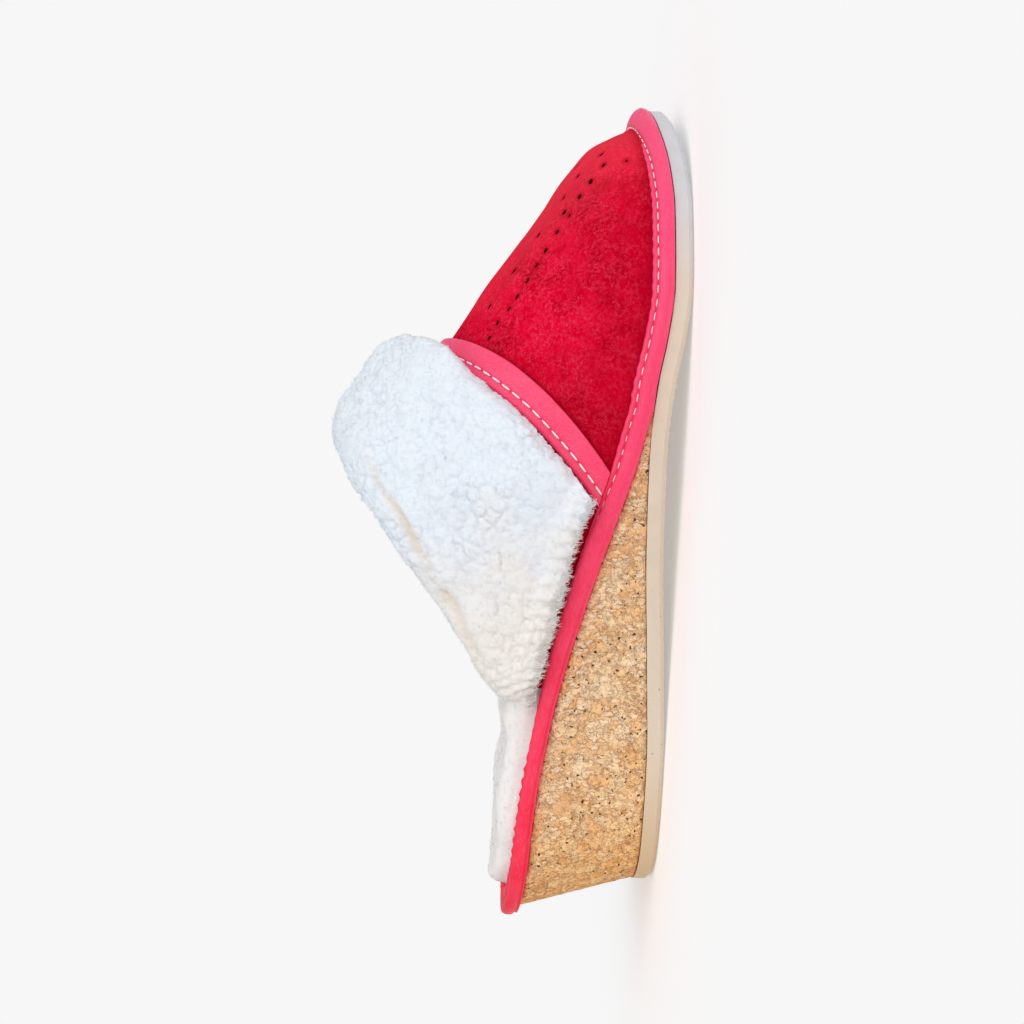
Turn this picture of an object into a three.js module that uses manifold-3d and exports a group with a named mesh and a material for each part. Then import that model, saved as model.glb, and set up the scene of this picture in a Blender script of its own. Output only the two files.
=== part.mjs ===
// A right-foot sheepskin mule: a suede upper with a wool cuff, a bound wool insole, a cork wedge and a thin
// moulded outsole. Millimetres, +X to the toe, +Y to the inner (medial) side, +Z up. It is worked out with the
// back of the outsole at x = 0, the heel's middle at y = 0 and the floor at z = 0, and centred at the end.
import * as THREE from "three";
import { mergeVertices } from "three/addons/utils/BufferGeometryUtils.js";
import Module from "manifold-3d";

const wasm = await Module();
wasm.setup();

// Driving sizes of the shoe
const soleLength = 233;
const ballWidth = 91;
const wedgeHeight = 33.5;
const instepHeight = 89.5;
const archLift = 5;
const toeSpring = 5;

// Sizes of the single pieces
const outsoleThickness = 5;
const outsoleBevel = 1.4;
const corkFrontEdge = 0.7;
const boardThickness = 3;
const woolOnInsole = 7.5;
const randThickness = 2.2;
const upperWall = 2;
const tapeThickness = 1.4;
const tapeWidth = 10;
const cuffThickness = 11;
const cuffInside = 4;
const cuffOverEdge = 6.5;
const cuffOverhang = 1.8;
const cuffShoulder = 0.22;
const cuffEndTaper = 0.07;
const cuffEndShare = 0.45;
const cuffSideShare = 0.72;
const tuftHeight = 1.8;
const clearance = 0.3;

// How finely the pieces are cut into faces
const outlineStations = 44;
const hoopCount = 28;
const hoopFaces = 28;
const cuffSteps = 54;
const cuffRows = 18;
const tuftSpan = 4;

// Sole outline seen from above: how far along the sole, and how far it reaches to the inner and the outer side,
// as shares of the sole length and the ball width.
const OUTLINE = [
  { along: 0, inner: 0, outer: 0 },
  { along: 0.017, inner: 0.162, outer: 0.16 },
  { along: 0.056, inner: 0.264, outer: 0.25 },
  { along: 0.11, inner: 0.322, outer: 0.305 },
  { along: 0.2, inner: 0.33, outer: 0.357 },
  { along: 0.315, inner: 0.313, outer: 0.431 },
  { along: 0.43, inner: 0.313, outer: 0.512 },
  { along: 0.54, inner: 0.329, outer: 0.594 },
  { along: 0.65, inner: 0.347, outer: 0.639 },
  { along: 0.745, inner: 0.361, outer: 0.637 },
  { along: 0.82, inner: 0.358, outer: 0.584 },
  { along: 0.88, inner: 0.332, outer: 0.508 },
  { along: 0.93, inner: 0.275, outer: 0.412 },
  { along: 0.965, inner: 0.194, outer: 0.3 },
  { along: 0.99, inner: 0.085, outer: 0.165 },
  { along: 1, inner: -0.035, outer: 0.035 },
];

// Underside seen from the side: flat under the heel and under the ball, lifted at the waist and at the toe.
const UNDERSIDE = [
  { along: -0.06, arch: 0.3, toe: 0 },
  { along: 0.05, arch: 0, toe: 0 },
  { along: 0.15, arch: 0, toe: 0 },
  { along: 0.29, arch: 0.36, toe: 0 },
  { along: 0.43, arch: 0.82, toe: 0 },
  { along: 0.55, arch: 1, toe: 0 },
  { along: 0.62, arch: 0.8, toe: 0 },
  { along: 0.69, arch: 0.25, toe: 0 },
  { along: 0.74, arch: 0, toe: 0 },
  { along: 0.84, arch: 0, toe: 0 },
  { along: 0.9, arch: 0, toe: 0.2 },
  { along: 0.96, arch: 0, toe: 0.66 },
  { along: 1.01, arch: 0, toe: 1 },
];

// Thickness of the cork wedge as a share of the wedge height.
const WEDGE = [
  { along: -0.06, thick: 1 },
  { along: 0.043, thick: 0.98 },
  { along: 0.132, thick: 0.931 },
  { along: 0.214, thick: 0.827 },
  { along: 0.282, thick: 0.695 },
  { along: 0.36, thick: 0.51 },
  { along: 0.415, thick: 0.373 },
  { along: 0.483, thick: 0.206 },
  { along: 0.543, thick: 0.075 },
  { along: 0.6, thick: 0 },
];

// Edge of the footbed, in millimetres: how far the rand stands out past the outsole, its height, how far its
// top reaches inwards, and how far the wool of the insole and the foot of the upper lie inside it. The flat
// column is 0 where the rand stands as a roll and 1 where it lies on the toe as a sloping flap.
const EDGE = [
  { along: 0, overhang: 11.5, height: 5, reach: 7.5, wool: 9, upper: 2.8, flat: 0 },
  { along: 0.03, overhang: 9.3, height: 5, reach: 6, wool: 7.5, upper: 2.8, flat: 0 },
  { along: 0.11, overhang: 5, height: 4.8, reach: 3.4, wool: 4.5, upper: 2.8, flat: 0 },
  { along: 0.2, overhang: 4, height: 4.8, reach: 2.6, wool: 5.6, upper: 2.8, flat: 0 },
  { along: 0.36, overhang: 3, height: 6.2, reach: 2.6, wool: 5.6, upper: 2.8, flat: 0 },
  { along: 0.54, overhang: 2, height: 6.8, reach: 3.2, wool: 5.6, upper: 2.8, flat: 0 },
  { along: 0.75, overhang: 1.2, height: 6, reach: 3.6, wool: 6.4, upper: 2.8, flat: 0 },
  { along: 0.85, overhang: 1.1, height: 6, reach: 4, wool: 9.5, upper: 3, flat: 0.15 },
  { along: 0.9, overhang: 1, height: 6, reach: 4.4, wool: 13, upper: 3.2, flat: 0.4 },
  { along: 0.97, overhang: 0.7, height: 6.6, reach: 6.2, wool: 21, upper: 4.2, flat: 0.9 },
  { along: 1, overhang: 0.5, height: 7, reach: 8, wool: 25, upper: 5, flat: 1 },
];

// Ridge of the upper from the toe back over the instep, as shares of sole length and instep height. The rows
// behind the open end carry the side walls' shape on.
const RIDGE = [
  { along: 0.12, height: 1.74 },
  { along: 0.32, height: 1.53 },
  { along: 0.43, height: 1.32 },
  { along: 0.5, height: 1.165 },
  { along: 0.573, height: 1 },
  { along: 0.641, height: 0.845 },
  { along: 0.69, height: 0.748 },
  { along: 0.756, height: 0.637 },
  { along: 0.808, height: 0.541 },
  { along: 0.863, height: 0.447 },
  { along: 0.889, height: 0.409 },
  { along: 0.915, height: 0.364 },
  { along: 0.936, height: 0.31 },
  { along: 0.949, height: 0.248 },
  { along: 0.966, height: 0.19 },
];

// Roundness of the upper's cross-section: 2 is an ellipse, more is fuller at the shoulders.
const ARCH = [
  { along: 0.1, power: 2.3 },
  { along: 0.57, power: 2.05 },
  { along: 0.8, power: 2 },
  { along: 0.92, power: 2.2 },
  { along: 1, power: 2.2 },
];

// Strip of suede left bare between the cuff and the rand, in millimetres above the rand.
const SUEDE_STRIP = [
  { along: 0.2, bare: 1 },
  { along: 0.27, bare: 2.4 },
  { along: 0.37, bare: 5.4 },
  { along: 0.44, bare: 4.2 },
  { along: 0.5, bare: 2 },
];

// The cuff's roll behind the open end: how far past the end, how far out from the skin or in under the upper's
// inner face, and how lumpy, as shares of the cuff's own reach and thicknesses.
const CUFF_ROLL = [
  { past: 0.62, out: 0.8, under: 0, tuft: 1 },
  { past: 1, out: 0.4, under: 0, tuft: 0.6 },
  { past: 1, out: 0, under: 0, tuft: 0.3 },
  { past: 0.6, out: 0, under: 0.8, tuft: 0 },
  { past: -0.3, out: 0, under: 1, tuft: 0 },
  { past: -1.4, out: 0, under: 0.6, tuft: 0 },
  { past: -1.4, out: 0, under: 0, tuft: 0 },
];

const ridgeSide = -7;
const rearEdge = { low: [0.244, 0.458], high: [0.573, 1] };
const collarEdge = { low: [0.508, 0.2], high: [0.688, 0.752] };

// A cubic through a table's rows that never swings past them, so that flat rows stay flat.
function smooth(rows, column, place = (row) => row.along) {
  const at = rows.map(place);
  const value = rows.map((row) => row[column]);
  const step = at.slice(1).map((x, i) => x - at[i]);
  const rise = step.map((h, i) => (value[i + 1] - value[i]) / h);
  const slope = value.map((_, i) => {
    if (i === 0) return rise[0];
    if (i === value.length - 1) return rise[i - 1];
    if (rise[i - 1] * rise[i] <= 0) return 0;
    const [before, after] = [2 * step[i] + step[i - 1], step[i] + 2 * step[i - 1]];
    return (before + after) / (before / rise[i - 1] + after / rise[i]);
  });
  return (x) => {
    let i = 0;
    while (i < step.length - 1 && x > at[i + 1]) i++;
    const t = THREE.MathUtils.clamp((x - at[i]) / step[i], 0, 1);
    const u = 1 - t;
    return (
      u * u * (1 + 2 * t) * value[i] +
      t * t * (1 + 2 * u) * value[i + 1] +
      t * u * step[i] * (u * slope[i] - t * slope[i + 1])
    );
  };
}

// Sole outline. Its two ends are round, so it is read along an angle that runs from heel to toe.
const roundAngle = (share) => Math.acos(THREE.MathUtils.clamp(1 - 2 * share, -1, 1));
const innerShare = smooth(OUTLINE, "inner", (row) => roundAngle(row.along));
const outerShare = smooth(OUTLINE, "outer", (row) => roundAngle(row.along));
const archShare = smooth(UNDERSIDE, "arch");
const toeShare = smooth(UNDERSIDE, "toe");
const wedgeShare = smooth(WEDGE, "thick");
const overhangAt = smooth(EDGE, "overhang");
const randHeightAt = smooth(EDGE, "height");
const randReachAt = smooth(EDGE, "reach");
const randFlatAt = smooth(EDGE, "flat");
const woolInsetAt = smooth(EDGE, "wool");
const upperInsetAt = smooth(EDGE, "upper");

const undersideZ = (x) => archLift * archShare(x / soleLength) + toeSpring * toeShare(x / soleLength);
const outsoleTopZ = (x) => undersideZ(x) + outsoleThickness;
const footbedZ = (x) => outsoleTopZ(x) + clearance + wedgeHeight * wedgeShare(x / soleLength);

function outlinePoint(index) {
  const count = 2 * outlineStations;
  const station = Math.min(index, count - index);
  const angle = (Math.PI * station) / outlineStations;
  const side = index <= outlineStations ? innerShare(angle) : -outerShare(angle);
  return { x: (soleLength * (1 - Math.cos(angle))) / 2, y: side * ballWidth };
}

// The outline with each point moved outwards by grow(share of length). Points 0 and outlineStations are the
// heel's and the toe's middle, and points i and 2 * outlineStations - i face each other across the sole.
function outlineRing(grow) {
  const count = 2 * outlineStations;
  const points = Array.from({ length: count }, (_, i) => outlinePoint(i));
  return points.map((point, i) => {
    const before = points[(i + count - 1) % count];
    const after = points[(i + 1) % count];
    const [dx, dy] = [after.x - before.x, after.y - before.y];
    const length = Math.hypot(dx, dy);
    const out = grow(point.x / soleLength);
    return { share: point.x / soleLength, x: point.x - (dy / length) * out, y: point.y + (dx / length) * out };
  });
}

// One closed mesh from a list of corner points and a list of triangles.
function solidFrom(points, triangles) {
  const geometry = new THREE.BufferGeometry();
  const numbers = triangles.flat().flatMap((corner) => points[corner].toArray());
  geometry.setAttribute("position", new THREE.Float32BufferAttribute(numbers, 3));
  const merged = mergeVertices(geometry, 1e-4);
  const index = merged.index.array;
  const kept = [];
  for (let i = 0; i < index.length; i += 3) {
    const [a, b, c] = [index[i], index[i + 1], index[i + 2]];
    if (a !== b && b !== c && c !== a) kept.push(a, b, c);
  }
  return new wasm.Manifold(
    new wasm.Mesh({
      numProp: 3,
      vertProperties: merged.getAttribute("position").array,
      triVerts: new Uint32Array(kept),
    }),
  );
}

// Rings of equal count, stacked from the bottom up, closed below and above by rungs across the sole.
function stackRings(rings) {
  const count = rings[0].length;
  const points = rings.flat();
  const triangles = [];
  for (let level = 0; level < rings.length - 1; level++) {
    for (let i = 0; i < count; i++) {
      const [a, b] = [level * count + i, level * count + ((i + 1) % count)];
      triangles.push([a, a + count, b], [b, a + count, b + count]);
    }
  }
  const top = (rings.length - 1) * count;
  for (let i = 0; i < count / 2; i++) {
    const [a, b] = [i, i + 1];
    const [c, d] = [(count - i) % count, count - i - 1];
    triangles.push([a, b, c], [b, d, c]);
    triangles.push([top + a, top + c, top + b], [top + b, top + c, top + d]);
  }
  return solidFrom(points, triangles);
}

const lift = (ring, height) => ring.map((p) => new THREE.Vector3(p.x, p.y, height(p.x)));

function outsole() {
  const full = outlineRing(() => 0);
  const tread = outlineRing(() => -outsoleBevel);
  return stackRings([
    lift(tread, undersideZ),
    lift(full, (x) => undersideZ(x) + outsoleBevel),
    lift(full, outsoleTopZ),
  ]);
}

// The wedge flares from the outsole's outline up to the rand, and runs out to a thin edge behind the ball.
function corkWedge() {
  const thickness = (x) => footbedZ(x) - outsoleTopZ(x) - 2 * clearance;
  const below = outlineRing(() => -clearance);
  const above = outlineRing((share) => overhangAt(share) - randThickness);
  const last = below.findIndex((p) => thickness(p.x) < corkFrontEdge);
  const keep = (ring) => [...ring.slice(0, last), ...ring.slice(ring.length - last + 1)];
  const bottomZ = (x) => outsoleTopZ(x) + clearance;
  const topZ = (x) => bottomZ(x) + Math.max(thickness(x), corkFrontEdge);
  return stackRings([lift(keep(below), bottomZ), lift(keep(above), topZ)]);
}

// Board and wool in one: a flat margin that the upper and the rand are sewn to, and the wool standing on it.
function insole(grow) {
  const board = outlineRing((share) => overhangAt(share) - randThickness - clearance + grow);
  const wool = (more) => outlineRing((share) => overhangAt(share) - woolInsetAt(share) - more + grow);
  const woolTop = (x) => footbedZ(x) + boardThickness + woolOnInsole * (1 + 0.3 * archShare(x / soleLength)) + grow;
  const margin = (x) => footbedZ(x) + boardThickness + grow;
  return stackRings([
    lift(board, (x) => footbedZ(x) - grow),
    lift(board, margin),
    lift(wool(0), margin),
    lift(wool(0.4), (x) => THREE.MathUtils.lerp(margin(x), woolTop(x), 0.6)),
    lift(wool(2.6), woolTop),
  ]);
}

// The last: half-widths at the foot of the upper, read from the footbed's edge by their place along the shoe.
const footRing = outlineRing((share) => overhangAt(share) - upperInsetAt(share));
const toeTip = footRing[outlineStations];
function sideReach(points) {
  const rows = points.map((p) => ({ along: p.x, y: p.y })).sort((a, b) => a.along - b.along);
  return (x) => {
    let i = 0;
    while (i < rows.length - 2 && x > rows[i + 1].along) i++;
    const [p, q] = [rows[i], rows[i + 1]];
    const span = (q.along - p.along) || 1;
    const bend = (v) => Math.sqrt(Math.max(toeTip.x - v, 0));
    const t = (bend(p.along) - bend(x)) / ((bend(p.along) - bend(q.along)) || span);
    return THREE.MathUtils.lerp(p.y, q.y, THREE.MathUtils.clamp(t, 0, 1));
  };
}
const innerReach = sideReach(footRing.slice(1, outlineStations + 1));
const outerReach = sideReach(footRing.slice(outlineStations));
const footZ = (x) => footbedZ(x) + boardThickness + clearance;
const ridgeRows = [...RIDGE, { along: toeTip.x / soleLength, height: footZ(toeTip.x) / instepHeight }];
const ridgeShare = smooth(ridgeRows, "height");
const suedeStripAt = smooth(SUEDE_STRIP, "bare");
const archPower = smooth(ARCH, "power");

// A point of the last's skin: x along the shoe, and turn from 0 at the outer side's foot over the ridge, at a
// quarter turn, to half a turn at the inner side's foot.
function skinPoint(x, turn) {
  const share = x / soleLength;
  const power = 2 / archPower(share);
  const toTip = THREE.MathUtils.smoothstep(x, toeTip.x - 30, toeTip.x);
  const ridgeY = THREE.MathUtils.lerp(ridgeSide, toeTip.y, toTip);
  const foot = turn < Math.PI / 2 ? outerReach(x) : innerReach(x);
  const up = Math.pow(Math.max(Math.sin(turn), 0), power);
  const across = Math.pow(Math.abs(Math.cos(turn)), power);
  const low = footZ(x);
  const top = Math.max(ridgeShare(share) * instepHeight, low);
  return new THREE.Vector3(x, ridgeY + (foot - ridgeY) * across, low + (top - low) * up);
}

// The same point moved off the skin, outwards when the distance is positive.
function skinOffset(x, turn, distance) {
  const point = skinPoint(x, turn);
  const room = toeTip.x - x;
  if (room < 0.02) return point.add(new THREE.Vector3(distance, 0, 0));
  const reach = Math.min(0.4, room / 2);
  const bend = 0.02;
  const along = skinPoint(x + reach, turn).sub(skinPoint(x - reach, turn));
  const round = skinPoint(x, Math.min(turn + bend, Math.PI)).sub(skinPoint(x, Math.max(turn - bend, 0)));
  const normal = along.cross(round).normalize();
  return point.addScaledVector(normal, distance);
}

// Edges of the upper in side view, each giving x for a height.
function rearEdgeX(z) {
  const [low, high] = [rearEdge.low, rearEdge.high];
  const rise = (z / instepHeight - low[1]) / (high[1] - low[1]);
  return soleLength * (low[0] + (high[0] - low[0]) * rise);
}
function collarRise(z) {
  const [low, high] = [collarEdge.low, collarEdge.high];
  return THREE.MathUtils.clamp((z / instepHeight - low[1]) / (high[1] - low[1]), -0.1, 1);
}
function collarFrontX(z) {
  const bow = 1 - (1 - collarRise(z)) ** 2;
  return soleLength * (collarEdge.low[0] + (collarEdge.high[0] - collarEdge.low[0]) * bow);
}
const collarBackX = (z) => collarFrontX(z) - tapeWidth * (1.35 - 0.5 * collarRise(z) ** 2);

// The turn at which the skin stands at a height, for pieces that stop above the rand.
function turnAbove(x, z) {
  const low = footZ(x);
  const top = ridgeShare(x / soleLength) * instepHeight;
  const up = THREE.MathUtils.clamp((z - low) / (top - low), 0, 1);
  return Math.asin(Math.pow(up, archPower(x / soleLength) / 2));
}

// Where a line that runs along the skin crosses an edge. spread 0 to 1 goes from the outer to the inner foot.
function crossing(edgeX, spread, footHeight) {
  let [front, back] = [toeTip.x - 1, 0.1 * soleLength];
  for (let i = 0; i < 40; i++) {
    const x = (front + back) / 2;
    if (x > edgeX(skinPoint(x, turnAt(x, spread, footHeight)).z)) front = x;
    else back = x;
  }
  return (front + back) / 2;
}
function turnAt(x, spread, footHeight) {
  const start = footHeight ? turnAbove(x, footbedZ(x) + footHeight(x)) : 0;
  return start + (Math.PI - 2 * start) * spread;
}

// A sheet of given thickness on the skin, between two edges. Hoops run across the shoe from foot to foot.
function skinSheet({ frontX, backX, steps, faces, inside, outside, footHeight, closedToe }) {
  const layers = [outside, inside].map((distance) =>
    Array.from({ length: steps + 1 }, (_, i) =>
      Array.from({ length: faces + 1 }, (_, j) => {
        const [front, back] = [frontX(j / faces), backX(j / faces)];
        const share = closedToe ? 1 - Math.cos((i / steps) * (Math.PI / 2)) : i / steps;
        const x = THREE.MathUtils.lerp(front, back, share);
        const point = skinOffset(x, turnAt(x, j / faces, footHeight), distance);
        point.z = Math.max(point.z, footZ(point.x));
        return point;
      }),
    ),
  );
  const points = layers.flat(2);
  const size = (steps + 1) * (faces + 1);
  const at = (layer, i, j) => layer * size + i * (faces + 1) + j;
  const triangles = [];
  const quad = (a, b, c, d) => triangles.push([a, b, c], [a, c, d]);
  for (let i = 0; i < steps; i++) {
    for (let j = 0; j < faces; j++) {
      quad(at(0, i, j), at(0, i, j + 1), at(0, i + 1, j + 1), at(0, i + 1, j));
      quad(at(1, i, j), at(1, i + 1, j), at(1, i + 1, j + 1), at(1, i, j + 1));
    }
    quad(at(0, i, 0), at(0, i + 1, 0), at(1, i + 1, 0), at(1, i, 0));
    quad(at(0, i + 1, faces), at(0, i, faces), at(1, i, faces), at(1, i + 1, faces));
  }
  for (let j = 0; j < faces; j++) {
    quad(at(0, steps, j), at(0, steps, j + 1), at(1, steps, j + 1), at(1, steps, j));
    if (!closedToe) quad(at(0, 0, j + 1), at(0, 0, j), at(1, 0, j), at(1, 0, j + 1));
  }
  return solidFrom(points, triangles);
}

function upper() {
  return skinSheet({
    frontX: () => toeTip.x,
    backX: (spread) => crossing(rearEdgeX, spread),
    steps: hoopCount,
    faces: hoopFaces,
    inside: -upperWall,
    outside: 0,
    closedToe: true,
  });
}

function collarTape() {
  const aboveRand = (x) => randHeightAt(x / soleLength) + 2 * clearance;
  return skinSheet({
    frontX: (spread) => crossing(collarFrontX, spread, aboveRand),
    backX: (spread) => crossing(collarBackX, spread, aboveRand),
    steps: 3,
    faces: hoopFaces + 8,
    inside: clearance,
    outside: clearance + tapeThickness,
    footHeight: aboveRand,
  });
}

// The last's outer form as one closed block, for cutting what lies against the upper.
function lastBlock(grow) {
  const tail = 0.14 * soleLength;
  const hoops = Array.from({ length: hoopCount + 1 }, (_, i) => {
    const share = 1 - Math.cos((i / hoopCount) * (Math.PI / 2));
    const x = THREE.MathUtils.lerp(toeTip.x, tail, share);
    const rim = Array.from({ length: hoopFaces + 1 }, (_, j) => skinOffset(x, (Math.PI * j) / hoopFaces, grow));
    const depth = new THREE.Vector3(0, 0, clearance + grow);
    return [...rim, rim.at(-1).clone().sub(depth), rim[0].clone().sub(depth)];
  });
  const points = hoops.flat();
  const count = hoops[0].length;
  const triangles = [];
  for (let i = 0; i < hoopCount; i++) {
    for (let j = 0; j < count; j++) {
      const [a, b] = [i * count + j, i * count + ((j + 1) % count)];
      triangles.push([a, b, b + count], [a, b + count, a + count]);
    }
  }
  const end = hoopCount * count;
  for (const first of [0, end]) {
    for (let j = 1; j < count - 1; j++) {
      triangles.push(first ? [first, first + j, first + j + 1] : [0, j + 1, j]);
    }
  }
  return solidFrom(points, triangles);
}

// The rand wraps the board's edge: a rolled band with a flap that lies on the upper, or at the heel on the board.
function rand() {
  const flap = boardThickness + clearance;
  const profile = (share) => {
    const [height, reach, flat] = [randHeightAt(share), randReachAt(share), randFlatAt(share)];
    const between = (roll, sloping) => THREE.MathUtils.lerp(roll, sloping, flat);
    return [
      [-randThickness, 0],
      [-0.5, 0],
      [0, 0.9],
      [between(0.25, 0), between(0.45, 0.24) * height],
      [between(-0.3, -0.16 * reach), between(0.74, 0.44) * height],
      [between(-0.45, -0.52) * reach, between(0.92, 0.74) * height],
      [-reach, height],
      [-reach, Math.max(height - 1.5, flap)],
      [-randThickness, flap],
    ];
  };
  const corners = profile(0).length;
  const lanes = Array.from({ length: corners }, (_, c) =>
    outlineRing((share) => overhangAt(share) + profile(share)[c][0]).map(
      (p) => new THREE.Vector3(p.x, p.y, footbedZ(p.x) + profile(p.share)[c][1]),
    ),
  );
  const count = 2 * outlineStations;
  const points = lanes.flat();
  const triangles = [];
  for (let c = 0; c < corners; c++) {
    const next = (c + 1) % corners;
    for (let i = 0; i < count; i++) {
      const after = (i + 1) % count;
      const [a, b] = [c * count + i, c * count + after];
      const [d, e] = [next * count + i, next * count + after];
      triangles.push([a, d, b], [b, d, e]);
    }
  }
  return largestOf(solidFrom(points, triangles).subtract(lastBlock(clearance)));
}

const largestOf = (solid) => solid.decompose().sort((a, b) => b.volume() - a.volume())[0];

// Tufts of the fleece: rounded locks in staggered rows, each a little taller or lower than its neighbours.
function tufts(row, column) {
  const shift = (Math.floor(row) % 2) / 2;
  const [r, c] = [row - Math.floor(row) - 0.5, column + shift - Math.floor(column + shift) - 0.5];
  const own = Math.sin(12.9898 * Math.floor(row) + 78.233 * Math.floor(column + shift)) * 43758.5453;
  const round = Math.max(0, 1 - 4 * (r * r + c * c));
  return Math.sqrt(round) * (0.55 + 0.45 * (own - Math.floor(own)));
}

// The cuff's section, from its front edge beside the tape, over its outer face, round the open end and back along
// the upper's inner and outer face. along runs from the tape to the open end, past is how far a point lies behind
// it, off how far off the skin, and tuft how much of the fleece's lumps it takes.
function cuffSection(thick) {
  const inner = -upperWall - clearance;
  const edgeGap = 1.5 * clearance;
  const outerFace = Array.from({ length: cuffRows + 1 }, (_, i) => {
    const along = i / cuffRows;
    const rise = Math.min(along / cuffShoulder, 1);
    const round = Math.sqrt(1 - (1 - rise) ** 2);
    const past = edgeGap - cuffOverhang * Math.sin(Math.PI * rise);
    return { along, past, off: THREE.MathUtils.lerp(tapeThickness + 2 * clearance, thick, round), tuft: 1 };
  });
  const roll = CUFF_ROLL.map(({ past, out, under, tuft }) => ({
    along: 1,
    past: past * cuffOverEdge,
    off: out > 0 ? out * thick : inner - under * cuffInside,
    tuft,
  }));
  const onUpper = [0.8, 0.6, 0.4, 0.2].map((along) => ({ along, past: 0, off: clearance, tuft: 0 }));
  return [
    { along: 0, past: edgeGap, off: clearance, tuft: 0 },
    ...outerFace,
    ...roll,
    { along: 1, past: edgeGap, off: inner, tuft: 0 },
    { along: 1, past: edgeGap, off: clearance, tuft: 0 },
    ...onUpper,
  ];
}

// The wool cuff: it lies on the upper behind the collar tape, rolls over the open end and turns inside. It is
// thickest over the instep and thins where its two ends run out on the rand.
function woolCuff(cutters) {
  const foot = (x) => randHeightAt(x / soleLength) + suedeStripAt(x / soleLength);
  const rows = Array.from({ length: cuffSteps + 1 }, (_, j) => {
    const spread = j / cuffSteps;
    const front = crossing(collarBackX, spread, foot);
    const back = crossing(rearEdgeX, spread, foot);
    const toEnd = Math.min(spread, 1 - spread, cuffEndTaper) / cuffEndTaper;
    const swell = THREE.MathUtils.lerp(cuffEndShare, 1, Math.sqrt(1 - (1 - toEnd) ** 2));
    const full = THREE.MathUtils.lerp(cuffSideShare, 1, Math.sin(Math.PI * spread));
    return cuffSection(cuffThickness * full * swell).map(({ along, past, off, tuft }, i) => {
      const x = THREE.MathUtils.lerp(front, back, along) - past;
      const lump = tuftHeight * tuft * tufts(i / tuftSpan, j / tuftSpan);
      return skinOffset(x, turnAt(x, spread, foot), off + lump);
    });
  });
  const count = rows[0].length;
  const points = rows.flat();
  const triangles = [];
  for (let j = 0; j < cuffSteps; j++) {
    for (let i = 0; i < count; i++) {
      const [a, b] = [j * count + i, j * count + ((i + 1) % count)];
      triangles.push([a, b + count, b], [a, a + count, b + count]);
    }
  }
  // The ends are cut on the section drawn flat, bowed a little so that no three of its corners lie in line.
  const flatSection = cuffSection(cuffThickness).map(
    ({ along, past, off }) => new THREE.Vector2(60 * along + past, off + Math.sin(Math.PI * along)),
  );
  const last = cuffSteps * count;
  for (const [a, b, c] of THREE.ShapeUtils.triangulateShape(flatSection, [])) {
    triangles.push([a, c, b], [last + a, last + b, last + c]);
  }
  let solid = solidFrom(points, triangles);
  for (const cutter of cutters) solid = solid.subtract(cutter);
  return largestOf(solid);
}

// A manifold solid as a named mesh with its own material.
function piece(name, solid, colour, roughness) {
  const { numProp, numVert, vertProperties, triVerts } = solid.getMesh();
  const position = new Float32Array(numVert * 3);
  for (let i = 0; i < numVert; i++) {
    position.set(vertProperties.subarray(i * numProp, i * numProp + 3), i * 3);
  }
  const geometry = new THREE.BufferGeometry();
  geometry.setAttribute("position", new THREE.BufferAttribute(position, 3));
  geometry.setIndex(new THREE.BufferAttribute(triVerts, 1));
  const mesh = new THREE.Mesh(geometry, new THREE.MeshStandardMaterial({ color: colour, roughness, metalness: 0 }));
  mesh.name = name;
  return mesh;
}

const slipper = new THREE.Group();
slipper.add(
  piece("outsole", outsole(), 0xd9cebb, 0.6),
  piece("cork_wedge", corkWedge(), 0xc49a66, 0.8),
  piece("insole", insole(0), 0xece9e2, 1),
  piece("rand", rand(), 0xf0325c, 0.5),
  piece("upper", upper(), 0xc4122f, 0.95),
  piece("collar_tape", collarTape(), 0xf23b66, 0.55),
  piece("wool_cuff", woolCuff([insole(clearance)]), 0xf2f1ee, 1),
);

// Centre the shoe over the origin, standing on the floor.
const box = new THREE.Box3().setFromObject(slipper);
const middle = box.getCenter(new THREE.Vector3());
slipper.position.set(-middle.x, -middle.y, -box.min.z);

export default slipper;
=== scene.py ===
"""Dresses a right-foot sheepskin mule: suede vamp, wool cuff, wool insole, cork wedge and rubber outsole.

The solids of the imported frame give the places. Shapes are worked out in millimetres on the shoe's own last,
with x from the back of the outsole to the toe, y to the inner side and z up from the floor, and are moved
into the frame's metres at the end.
"""

import logging
import math
from collections.abc import Callable, Iterator, Sequence
from contextlib import contextmanager
from dataclasses import dataclass
from enum import Enum

import bpy
import numpy as np
from mathutils import Matrix, Vector, kdtree, noise


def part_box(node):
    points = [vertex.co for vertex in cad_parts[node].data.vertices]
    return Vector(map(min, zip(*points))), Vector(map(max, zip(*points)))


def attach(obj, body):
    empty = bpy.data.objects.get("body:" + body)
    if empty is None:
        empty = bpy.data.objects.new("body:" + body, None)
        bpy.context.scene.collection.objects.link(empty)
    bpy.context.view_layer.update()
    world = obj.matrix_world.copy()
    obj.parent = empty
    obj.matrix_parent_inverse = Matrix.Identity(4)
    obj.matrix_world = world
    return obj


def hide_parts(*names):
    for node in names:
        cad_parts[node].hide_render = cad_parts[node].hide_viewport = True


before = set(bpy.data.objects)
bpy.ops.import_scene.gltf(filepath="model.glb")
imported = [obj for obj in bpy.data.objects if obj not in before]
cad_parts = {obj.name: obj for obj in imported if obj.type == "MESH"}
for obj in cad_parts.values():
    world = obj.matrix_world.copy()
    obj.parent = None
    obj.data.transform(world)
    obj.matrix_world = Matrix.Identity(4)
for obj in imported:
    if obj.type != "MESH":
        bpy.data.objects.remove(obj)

LOG = logging.getLogger("mule")
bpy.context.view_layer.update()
MM = 0.001
MERGE = 1e-6
NOISE_SEED = 7

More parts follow.
